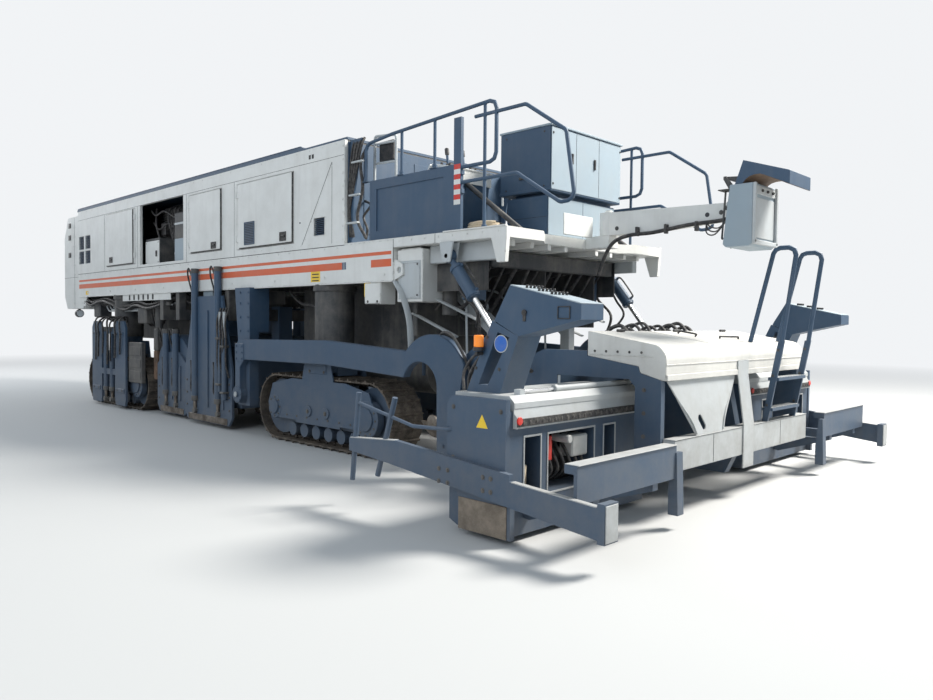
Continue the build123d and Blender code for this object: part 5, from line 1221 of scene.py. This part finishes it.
def tracks():
    """Every track as single shoes with a grouser, four bolts and chain links below."""
    loop = 2 * (TRACK_LENGTH - TRACK_HEIGHT) + pi * TRACK_HEIGHT
    for end, x in CRAWLERS.items():
        for hand, side in HANDS:
            body = f"crawler_{end}_{hand}"
            shoe = fitting(f"track_{end}_{hand}_shoes", TRACK, body)
            bolt = fitting(f"track_{end}_{hand}_bolts", TOOL, body)
            link = fitting(f"track_{end}_{hand}_links", LINK, body)
            centre = side * CRAWLER_Y
            for step in range(SHOES):
                px, pz, turn = loop_place((step + 0.5) * loop / SHOES, TRACK_HEIGHT / 2)
                out = Vector((cos(turn), 0, sin(turn)))
                along = Vector((-sin(turn), 0, cos(turn)))
                place = Vector((x + px, 0, TRACK_HEIGHT / 2 + pz))
                ring = [place + along * a + out * h for a, h in SHOE_PROFILE]
                half = TRACK_WIDTH / 2
                corners = [p + Vector((0, centre + w, 0)) for w in (-half, half) for p in ring]
                shoe.form(corners, closed_faces(len(ring)))
                for a in (-0.045, 0.045):
                    for w in (-0.11, 0.11):
                        bolt.bolt(place + along * a + out * -0.024 + Vector((0, centre + w, 0)), out, 0.011,
                                  0.010)
                for w in (-0.095, 0.095):
                    base = place + Vector((0, centre + w, 0)) - out * 0.042
                    link.sweep([base - along * 0.074 - out * 0.024, base - out * 0.034, base + along * 0.074
                                - out * 0.024], 0.024, 6)
                link.rod(place - out * 0.064 + Vector((0, centre - 0.13, 0)) - along * 0.085,
                         place - out * 0.064 + Vector((0, centre + 0.13, 0)) - along * 0.085, 0.016, 8)


def crawler_trim():
    """Final drives, idler caps, cover bolts, saddle bolts and leg collars."""
    for end, x in CRAWLERS.items():
        for hand, side in HANDS:
            body = f"crawler_{end}_{hand}"
            hub, bolt = fitting(body + "_hubs", SLATE, body), fitting(body + "_bolts", DARK, body)
            plate = fitting(body + "_plates", SLATE, body)
            face = 1.506
            for place, radius in ((x - 1.025, 0.235), (x + 1.025, 0.165)):
                hub.rod((place, side * (face - 0.10), 0.475), (place, side * (face + 0.006), 0.475), radius,
                        28, 0.008)
                hub.rod((place, side * face, 0.475), (place, side * (face + 0.030), 0.475), radius * 0.62, 24,
                        0.008)
                count = 12 if radius > 0.2 else 8
                bolt_ring(bolt, (place, side * (face + 0.006), 0.475), side, radius * 0.8, count, 0.010,
                          0.009)
            for step in range(7):
                bolt.bolt((x - 0.72 + step * 0.24, side * 1.506, 0.385), (0, side, 0), 0.010, 0.008)
            for dx in (-0.20, 0.20):
                hub.rod((x + dx, side * 1.506, 0.475), (x + dx, side * 1.524, 0.475), 0.075, 20, 0.005)
                bolt.bolt((x + dx, side * 1.524, 0.475), (0, side, 0), 0.020, 0.014)
            plate.box((x - 0.20, x + 0.20), span(side, 1.506, 1.516), (0.98, 1.16), 0.006)
            for dx in (-0.16, 0.16):
                for z in (1.01, 1.13):
                    bolt.bolt((x + dx, side * 1.516, z), (0, side, 0), 0.014, 0.011)
    leg_ring = fitting("leg_rings", DARK)
    for x in CRAWLERS.values():
        for side in BOTH:
            for step in range(16):
                angle = 2 * pi * (step + 0.5) / 16
                leg_ring.bolt((x + cos(angle) * 0.235, side * CRAWLER_Y + sin(angle) * 0.235, 1.352),
                              (0, 0, -1),
                              0.011, 0.009)
            leg_ring.rod((x, side * CRAWLER_Y, 2.06), (x, side * CRAWLER_Y, 2.149), 0.285, 28, 0.006)


def shield_trim():
    """Rods, caps, ribs and hoses of the panels outside the front crawlers, and boxes beside them."""
    x = CRAWLERS["front"]
    for hand, side in HANDS:
        body = f"crawler_front_{hand}"
        rod_piece, cap = fitting(body + "_shield_rods", TOOL, body), fitting(body + "_shield_caps", DARK,
                                                                             body)
        hose, rib = fitting(body + "_shield_hoses", RUBBER, body), fitting(body + "_shield_ribs", SLATE, body)
        near, far = 1.596, 1.636
        middle = (near + far) / 2
        for dx in (-0.15, 0.15):
            cap.rod((x + dx, side * middle, 1.44), (x + dx, side * middle, 1.53), 0.058, 16, 0.006)
            cap.rod((x + dx, side * middle, 0.30), (x + dx, side * middle, 0.38), 0.058, 16, 0.006)
            rod_piece.rod((x + dx, side * middle, 0.16), (x + dx, side * middle, 0.30), 0.026, 14)
            cap.rod((x + dx, side * (near - 0.03), 0.14), (x + dx, side * (far + 0.03), 0.14), 0.042, 14,
                    0.005)
        for x0, x1 in ((x - 0.83, x - 0.33), (x + 0.33, x + 0.83)):
            rib.box((x0 + 0.09, x1 - 0.09), span(side, far, far + 0.014), (1.36, 1.44), 0.005)
            rib.box((x0 + 0.06, x1 - 0.06), span(side, far, far + 0.014), (0.30, 0.38), 0.005)
            for px in (x0 + 0.13, x1 - 0.13):
                for z in (0.34, 1.40):
                    cap.bolt((px, side * (far + 0.014), z), (0, side, 0), 0.013, 0.010)
        for step in range(7):
            px = x - 0.62 + step * 0.20
            y = side * (far + 0.02 + 0.012 * (step % 3))
            hose.hose([(px * 0.4 + x * 0.6 + 0.1, side * 1.34, 1.60), (px + 0.10, side * 1.48, 1.72),
                       (px, y, 1.66 - 0.03 * (step % 3)), (px - 0.04, y + side * 0.012, 1.35),
                       (px + 0.02, y, 1.02 - 0.07 * (step % 4))], 0.015 + 0.003 * (step % 2))
        dark = fitting(body + "_hose_block", DARK, body)
        dark.box((x - 0.24, x + 0.34), span(side, 1.26, 1.36), (1.54, 1.66), 0.01)
        dark.box((x - 1.44, x - 0.86), span(side, 1.512, 1.592), (0.52, 1.26), 0.012)
        for row in range(3):
            dark.box((x - 1.40, x - 0.90), span(side, 1.592, 1.600), (0.58 + row * 0.22, 0.74 + row * 0.22),
                     0.004)


def side_hoses():
    """Bundles of hoses and pipes that run along the frame's underside on both sides."""
    hose, pipe = fitting("frame_hoses", RUBBER), fitting("frame_pipes", PALE)
    dark = fitting("frame_side_boxes", DARK)
    rust, block = fitting("rusty_box", RUST), fitting("dark_cover_boxes", DARK)
    for side in BOTH:
        for step in range(9):
            y, z = side * (1.20 + 0.035 * step), 1.98 + 0.022 * (step % 4)
            dips = [(6.45 - step * 0.03, y, z + 0.06), (5.9, y + side * 0.02, z - 0.02),
                    (5.4, y, z - 0.10 + 0.02 * step),
                    (4.95, y + side * 0.02, z + 0.02), (4.3, y - side * 0.03, z - 0.12), (3.7, y, z - 0.04),
                    (3.1, y + side * 0.02, z - 0.10), (2.6, y - side * 0.04, z - 0.02), (2.2, y - side * 0.10,
                                                                                         z + 0.10)]
            hose.hose(dips, 0.016 + 0.004 * (step % 3), 7)
        for step in range(5):
            y, z = side * (1.16 + 0.05 * step), 2.06 - 0.03 * step
            pipe.tube([(2.4, y, z), (3.4, y, z), (3.6, y + side * 0.03, z - 0.10),
                       (5.2, y + side * 0.03, z - 0.10),
                       (5.4, y, z)], 0.013, 0.06, 7)
        dark.box((3.25, 3.62), span(side, 1.22, 1.47), (1.60, 1.90), 0.02)
        dark.box((5.62, 5.95), span(side, 1.18, 1.42), (1.72, 2.08), 0.02)
        dark.rod((2.98, side * 1.34, 1.52), (2.98, side * 1.34, 2.08), 0.07, 18, 0.012)
        dark.rod((2.48, side * 1.38, 1.92), (2.48, side * 1.38, 2.08), 0.065, 16, 0.012)
        for x0, x1, low in ((-3.62, -0.64, 1.30), (-0.10, 2.88, 1.93), (2.94, 6.50, 1.30)):
            dark.box((x0, x1), span(side, 0.66, 0.68), (low, 2.14), 0.006)
        for step in range(4):
            x = 3.12 + step * 0.11
            hose.hose([(x + 0.10, side * 1.30, 2.06), (x + 0.04, side * 1.36, 1.84), (x, side * 1.33, 1.60),
                       (x + 0.06, side * 1.20, 1.58), (x + 0.12, side * 1.10, 1.72)], 0.017)
        hose.hose([(0.2, side * 1.30, 2.12), (0.7, side * 1.38, 1.98), (1.2, side * 1.42, 2.04),
                   (1.7, side * 1.36, 1.96),
                   (2.2, side * 1.30, 2.10)], 0.018)
        hose.hose([(-0.9, side * 1.10, 2.10), (-1.3, side * 1.16, 1.92), (-1.75, side * 1.22, 1.86),
                   (-1.95, side * 1.24, 1.60)], 0.020)
        rust.box((2.90, 3.05), span(side, 1.02, 1.42), (0.60, 1.12), 0.015)
        block.box((2.90, 3.05), span(side, 1.02, 1.42), (1.12, 1.52), 0.015)


def mixer_trim():
    """Ribs, end flanges, shaft ends and gearboxes of the mixer trough."""
    rib, bolt = fitting("mixer_ribs", SLATE), fitting("mixer_bolts", DARK)
    gear = fitting("mixer_gearboxes", DARK)
    for x in (-3.25, -2.85, -2.35, -1.85, -1.35, -0.95):
        for side in BOTH:
            rib.box((x - 0.012, x + 0.012), span(side, 0.56, 0.605), (0.98, 1.54), 0.003)
    for side in BOTH:
        for x, way in ((-3.30, -1), (-0.85, 1)):
            gear.rod((x, side * 0.28, 1.0), (x + way * 0.09, side * 0.28, 1.0), 0.17, 24, 0.012)
            gear.rod((x + way * 0.09, side * 0.28, 1.0), (x + way * 0.16, side * 0.28, 1.0), 0.08, 18, 0.010)
            for step in range(8):
                angle = 2 * pi * step / 8
                bolt.bolt((x + way * 0.09, side * 0.28 + cos(angle) * 0.135, 1.0 + sin(angle) * 0.135),
                          (way, 0, 0),
                          0.012, 0.011)
        rib.box((-3.28, -0.87), span(side, 0.56, 0.590), (1.50, 1.56), 0.004)


# Screed
def screed_trim():
    """Seams, folds, hinges and handles of the hood, and the hoses, blocks and ribs before it."""
    seam, fold = fitting("hood_seams", SHADOW, "screed"), fitting("hood_folds", HOOD, "screed")
    hose, black = fitting("screed_hoses", RUBBER, "screed"), fitting("screed_fittings", BLACK, "screed")
    bolt, pale = fitting("screed_bolts", DARK, "screed"), fitting("screed_sheets", PALE, "screed")
    block = fitting("screed_blocks", SLATE, "screed")
    back = -7.257
    fold.box((back - 0.010, back), (-1.49, 1.49), (1.188, 1.240), 0.004)
    fold.box((back - 0.006, back), (-1.495, 1.495), (1.318, 1.328), 0.003)
    for side in BOTH:
        fold.box((-7.13, -6.48), span(side, 1.500, 1.506), (1.385, 1.395), 0.002)
        for step in range(5):
            bolt.bolt((-6.54 - step * 0.12, side * 1.50, 1.42), (0, side, 0), 0.008, 0.006)
    for y in (-0.50, 0.48):
        seam.prism([(-6.462, 1.6012), (-7.148, 1.4912), (-7.148, 1.4900), (-6.462, 1.6000)], "y",
                   (y, y + 0.006), 0)
    for y in (-1.05, 0.0, 1.05):
        black.rod((-6.52, y - 0.06, 1.604), (-6.52, y + 0.06, 1.604), 0.014, 12, 0.003)
    black.tube([(-6.62, 0.15, 1.578), (-6.64, 0.15, 1.602), (-6.83, 0.15, 1.572), (-6.81, 0.15, 1.548)],
               0.010, 0.02, 8)
    black.tube([(-6.95, -0.10, 1.528), (-6.95, -0.10, 1.550), (-6.98, -0.46, 1.545), (-6.98, -0.46, 1.520)],
               0.010,
               0.02, 8)
    for step in range(18):
        y = -0.80 + step * 0.085
        lift = (0.24, 0.32, 0.27, 0.36, 0.25, 0.34, 0.29, 0.26, 0.33)[step % 9]
        hose.hose([(-6.02, y + 0.10, 1.29), (-6.06, y, 1.29 + lift * 0.8), (-6.20, y - 0.08, 1.32 + lift),
                   (-6.34, y - 0.05, 1.34 + lift * 0.5), (-6.38, y + 0.04, 1.30)], 0.016 + 0.004 * (step % 2))
    for y in (-1.15, -0.45, 0.25, 0.95):
        block.box((-6.30, -6.16), (y - 0.11, y + 0.11), (1.30, 1.38), 0.01)
        black.rod((-6.23, y - 0.05, 1.38), (-6.23, y - 0.05, 1.45), 0.030, 14, 0.005)
        black.rod((-6.23, y + 0.05, 1.38), (-6.23, y + 0.05, 1.43), 0.022, 14, 0.005)
    for side in BOTH:
        for x, z in ((-5.80, 1.05), (-5.80, 1.20), (-7.05, 0.50), (-7.05, 0.70), (-7.05, 0.90),
                     (-7.05, 1.10)):
            bolt.bolt((x, side * 1.50, z), (0, side, 0), 0.013, 0.010)
        pale.box((-6.16, -6.13), span(side, 1.500, 1.508), (0.40, 1.18), 0.003)
    for y in (-1.2, -0.4, 0.4, 1.2):
        block.prism([(-5.30, 0.905), (-5.62, 0.905), (-5.655, 1.25), (-5.60, 1.25)], "y",
                    (y - 0.012, y + 0.012), 0.003)


def walkway_trim():
    """Tread and joints of the centre walkway, and the deflector's curled edges."""
    tread, dark = fitting("centre_treads", PALE, "screed"), fitting("walkway_seams", SHADOW, "screed")
    low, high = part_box("walkway_centre")
    tread.box((low[0] - 0.006, high[0] - 0.002), (low[1] + 0.004, high[1] - 0.004),
              (high[2], high[2] + 0.004), 0.002)
    for y in (-0.75, 0.0, 0.75):
        dark.box((low[0] - 0.0015, low[0]), (y, y + 0.006), (low[2] + 0.01, high[2] - 0.01), 0)
    edge = fitting("deflector_edges", PALE, "screed")
    for y_top, y_foot in ((0.165, 0.56), (1.43, 1.06)):
        edge.sweep(curved([(-7.232, y_top, 1.18), (-7.262, y_top + (y_foot - y_top) * 0.35, 1.02),
                           (-7.30, y_top + (y_foot - y_top) * 0.80, 0.84), (-7.322, y_foot, 0.71)]), 0.008, 6)


def ladder_trim():
    """Tread strips and bolts of the ladder."""
    grip = fitting("ladder_rungs", PALE, "screed")
    bolt = fitting("ladder_bolts", DARK, "screed")
    for y in (-1.115, -0.415):
        for z in (0.86, 1.16, 1.42):
            bolt.bolt((-7.29 - (z - 0.69) * 0.183, y + 0.014, z), (0, 1, 0), 0.010, 0.008)
    for z, x in ((0.832, -7.32), (1.142, -7.377)):
        for step in range(10):
            y = -1.08 + step * 0.07
            grip.box((x - 0.050, x + 0.050), (y, y + 0.035), (z, z + 0.004), 0.001)


# Screed extensions, one body on each side
def extension_trim():
    """Bay contents, cover strips, reflectors, treads, labels, beam strips and the desks' fittings."""
    for hand, side in HANDS:
        body = f"extension_{hand}"
        dark, sheet = fitting(body + "_bay_dark", SHADOW, body), fitting(body + "_sheets", PALE, body)
        red, white = fitting(body + "_red", RED, body), fitting(body + "_white_boxes", WHITE, body)
        black, bolt = fitting(body + "_fittings", BLACK, body), fitting(body + "_bolts", DARK, body)
        hose, label = fitting(body + "_hoses", RUBBER, body), fitting(body + "_label", YELLOW, body)
        chrome = fitting(body + "_rods", CHROME, body)
        rubber_strip, sole = fitting(body + "_strip", RUBBER, body), fitting(body + "_sole", SOLE, body)
        for near, far in ((0.180, 0.370), (0.470, 1.090), (1.240, 1.400)):
            y0, y1 = 2.95 - far, 2.95 - near
            dark.box((-6.535, -6.531), span(side, y0, y1), (0.33, 0.79), 0)
            frame_around_yz(sheet, -6.79, side, (y0, y1), (0.33, 0.79), 0.016)
        red.box((-6.74, -6.60), span(side, 2.36, 2.45), (0.56, 0.76), 0.008)
        white.box((-6.76, -6.62), span(side, 1.90, 2.12), (0.56, 0.74), 0.012)
        white.rod((-6.80, side * 2.20, 0.72), (-6.62, side * 2.20, 0.72), 0.035, 14, 0.006)
        for step in range(6):
            y = side * (1.95 + step * 0.085)
            hose.hose([(-6.58, y, 0.74), (-6.70, y + side * 0.02, 0.62), (-6.74, y, 0.48),
                       (-6.62, y - side * 0.03, 0.38)],
                      0.013)
        sand = fitting(body + "_sand", SAND, body)
        sand.tube([(-6.66, side * 2.62, 0.36), (-6.70, side * 2.66, 0.56), (-6.74, side * 2.72, 0.50),
                   (-6.72, side * 2.74, 0.34)], 0.020, 0.05)
        y = span(side, 1.15, 2.91)
        rubber_strip.box((-6.838, -6.8305), y, (0.885, 0.945), 0.002)
        for step in range(22):
            py = side * (1.20 + step * 0.078)
            bolt.bolt((-6.838, py, 0.915), (-1, 0, 0), 0.010, 0.006)
        sheet.prism([(-6.800, 1.020), (-6.806, 1.020), (-6.806, 1.062), (-6.750, 1.114), (-6.744, 1.110),
                     (-6.800, 1.058)], "y", y, 0)
        for py in (1.17, 2.885):
            red.rod((-6.8305, side * py, 0.93), (-6.846, side * py, 0.93), 0.032, 16, 0.004)
        gate_trim(side, bolt, label, sheet, sole)
        desk_fittings(side, body, sheet, black, bolt, hose)
        x, z = -6.70, 1.132
        chrome.rod((x, side * 2.31, z), (x, side * 2.72, z), 0.0145, 14)
        sheet.rod((x, side * 2.26, z), (x, side * 2.305, z), 0.034, 16, 0.004)
        sheet.rod((x, side * 1.19, z), (x, side * 1.24, z), 0.034, 16, 0.004)
        tread = fitting(body + "_treads", PALE, body)
        tread.box((-7.462, -7.338), span(side, 1.655, 2.996), (0.690, 0.696), 0.002)


def frame_around_yz(piece, x, side, y, z, wide):
    """Four flat bars round an opening in a rear wall."""
    for low, high, z0, z1 in ((y[0] - wide, y[1] + wide, z[0] - wide, z[0]),
                              (y[0] - wide, y[1] + wide, z[1], z[1] + wide),
                              (y[0] - wide, y[0], z[0], z[1]), (y[1], y[1] + wide, z[0], z[1])):
        piece.box((x - 0.006, x), span(side, low, high), (z0, z1), 0.002)


def gate_trim(side, bolt, label, sheet, sole):
    """Joint plates, bolts, pale top strip, sole wear plates, tip plates and the blank triangle."""
    out = 3.050
    for x in (-6.14, -6.24, -6.62, -6.70):
        for z in (0.40, 0.50):
            bolt.bolt((x, side * out, z), (0, side, 0), 0.013, 0.011)
    sheet.prism([(-6.90, 0.507), (-7.64, 0.457), (-7.64, 0.449), (-6.90, 0.499)], "y", span(side, 3.0, 3.052),
                0.002)
    sheet.prism([(-4.975, 0.622), (-5.59, 0.664), (-5.59, 0.656), (-4.975, 0.614)], "y",
                span(side, 3.0, 3.052), 0.002)
    sheet.box((-7.718, -7.710), span(side, 2.90, 3.045), (0.22, 0.47), 0.003)
    sole.prism([(-6.32, 0.052), (-6.82, 0.052), (-6.82, 0.30), (-6.32, 0.30)], "y", span(side, 3.0, 3.010),
               0.003)
    triangle = [(-6.50, 0.86), (-6.62, 0.86), (-6.56, 0.965)]
    label.prism(triangle, "y", span(side, 3.0, 3.0012), 0)
    for x, z in ((-6.25, 1.00), (-6.25, 0.60), (-6.75, 1.00)):
        bolt.bolt((x, side * 3.0, z), (0, side, 0), 0.013, 0.010)


def desk_fittings(side, body, sheet, black, bolt, hose):
    """Screens, levers, latch, beacon and blue sign on the extension's operating desk."""
    y0, y1 = 2.525, 2.80
    orange = fitting(body + "_beacon", AMBER, body)
    blue = fitting(body + "_round_sign", BLUE, body)
    # The desk's sloped sheets take the lighter slate copy: painted sunlight on their tops
    pale = fitting(body + "_desk_sheets", SLATE_PAINTED_SUNLIT, body)
    pale.prism([(-7.312, 1.802), (-6.655, 1.949), (-6.657, 1.957), (-7.314, 1.810)], "y",
               span(side, y0 - 0.004, y1 + 0.004),
               0.002)
    pale.prism([(-6.492, 1.688), (-6.652, 1.946), (-6.646, 1.950), (-6.486, 1.692)], "y",
               span(side, y0 + 0.01, y1 - 0.01),
               0.002)
    for step in range(5):
        y = side * (y0 + 0.05 + step * 0.045)
        for x in (-6.78, -6.90, -7.02):
            z = 1.955 + (x + 6.655) * 0.2239
            black.rod((x, y, z), (x - 0.005, y, z + 0.026), 0.011, 10, 0.002)
    frame_around(black, (-7.22, -7.12), span(side, y1, y1 + 0.010), (1.70, 1.78), 0.006, 0.002)
    black.rod((-6.80, side * y1, 1.74), (-6.80, side * (y1 + 0.014), 1.74), 0.024, 16, 0.003)
    black.box((-6.814, -6.786), span(side, y1, y1 + 0.010), (1.675, 1.74), 0.003)
    for x, z in ((-6.30, 1.30), (-6.42, 1.55), (-6.55, 1.30)):
        bolt.bolt((x, side * y1, z), (0, side, 0), 0.010, 0.008)
    stalk = Vector((-6.365, side * 2.84, 1.44))
    black.rod(stalk, stalk + Vector((0, 0, 0.03)), 0.045, 18, 0.004)
    orange.rod(stalk + Vector((0, 0, 0.03)), stalk + Vector((0, 0, 0.125)), 0.040, 20, 0.016)
    black.rod((-6.365, side * 2.80, 1.42), (-6.365, side * 2.87, 1.42), 0.016, 10)
    blue.rod((-6.567, side * 2.802, 1.50), (-6.567, side * 2.808, 1.50), 0.062, 24, 0.002)
    sheet.rod((-6.567, side * 2.800, 1.50), (-6.567, side * 2.804, 1.50), 0.070, 24, 0.001)
    hose.hose([(-6.30, side * 2.58, 1.22), (-6.17, side * 2.60, 1.30), (-6.13, side * 2.66, 1.20),
               (-6.18, side * 2.72, 1.10)], 0.014)
    hose.hose([(-6.34, side * 2.64, 1.30), (-6.18, side * 2.66, 1.40), (-6.11, side * 2.74, 1.26),
               (-6.17, side * 2.80, 1.10)], 0.012)


# Auger
def auger_trim():
    """Gearbox between the auger halves and their end caps."""
    gear = fitting("auger_gearbox", SLATE)
    gear.box((-4.55, -4.19), (-0.10, 0.10), (0.50, 0.98), 0.02)
    for side in BOTH:
        gear.rod((-4.37, side * 0.10, 0.56), (-4.37, side * 0.128, 0.56), 0.115, 24, 0.006)
    for hand, side in HANDS:
        cap = fitting(f"auger_{hand}_caps", TOOL, f"auger_{hand}")
        cap.rod((-4.37, side * 1.455, 0.56), (-4.37, side * 1.482, 0.56), 0.080, 20, 0.005)


def lift_trim():
    """Gland rings and hose unions of the lift cylinders."""
    top, foot = Vector((-4.630, 0, 2.380)), Vector((-5.350, 0, 1.510))
    ahead = (foot - top).normalized()
    ring, hose = fitting("lift_glands", SLATE, "lift_barrels"), fitting("lift_hoses", RUBBER, "lift_barrels")
    for side in BOTH:
        y = Vector((0, side * 1.48, 0))
        for run in (0.165, 0.545):
            ring.ring(top + y + ahead * run, top + y + ahead * (run + 0.032), 0.068, 0.078)
        up = Vector((-ahead.z, 0, ahead.x)) * -1
        start = top + y + ahead * 0.20 + up * 0.07
        end = top + y + ahead * 0.54 + up * 0.07
        ring.rod(start, start + up * 0.035, 0.016, 12, 0.003)
        ring.rod(end, end + up * 0.035, 0.016, 12, 0.003)
        hose.hose([end + up * 0.035, end + up * 0.055 - ahead * 0.03, start + up * 0.06 + ahead * 0.06,
                   start + up * 0.035], 0.011)


# The part
STAND_INS = {"console_box": "console_shell", "console_lid": "console_visor"}
HARD_EDGED = {"rotor_front", "rotor_rear", "auger_left", "auger_right"}


def dress_nodes():
    """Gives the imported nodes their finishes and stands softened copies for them."""
    for part in frame["record"]["subparts"]:
        name = part["node"]
        node = frame["nodes"][name]
        node.data.materials.clear()
        node.data.materials.append(SLOT_FINISH[part["material_slot"]])
        if name in STAND_INS or name.startswith("track_"):
            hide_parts(name)
        elif name not in HARD_EDGED:
            soften(name)


bodies = frame["record"]["behaviour"]["bodies"]
body_of_node = {node: body for body, nodes in bodies.items() for node in nodes}

add_camera()
add_lights()
add_floor()
for dress in (frame_stripes, frame_trim, service_box_trim, bent_pipes, housing_trim, roof_trim, door_trim,
              service_bay_fit, nose_trim, recess_fit, platform_trim, desk_trim, cabinet_trim, railing_trim,
              under_floor, boom_trim, console, console_lid_trim, arm_trim, tower_trim, unit_trim, rotor_picks,
              tracks, crawler_trim, shield_trim, side_hoses, mixer_trim, screed_trim, walkway_trim,
              ladder_trim, extension_trim, auger_trim, lift_trim):
    dress()
for piece in fittings.values():
    piece.place()
dress_nodes()
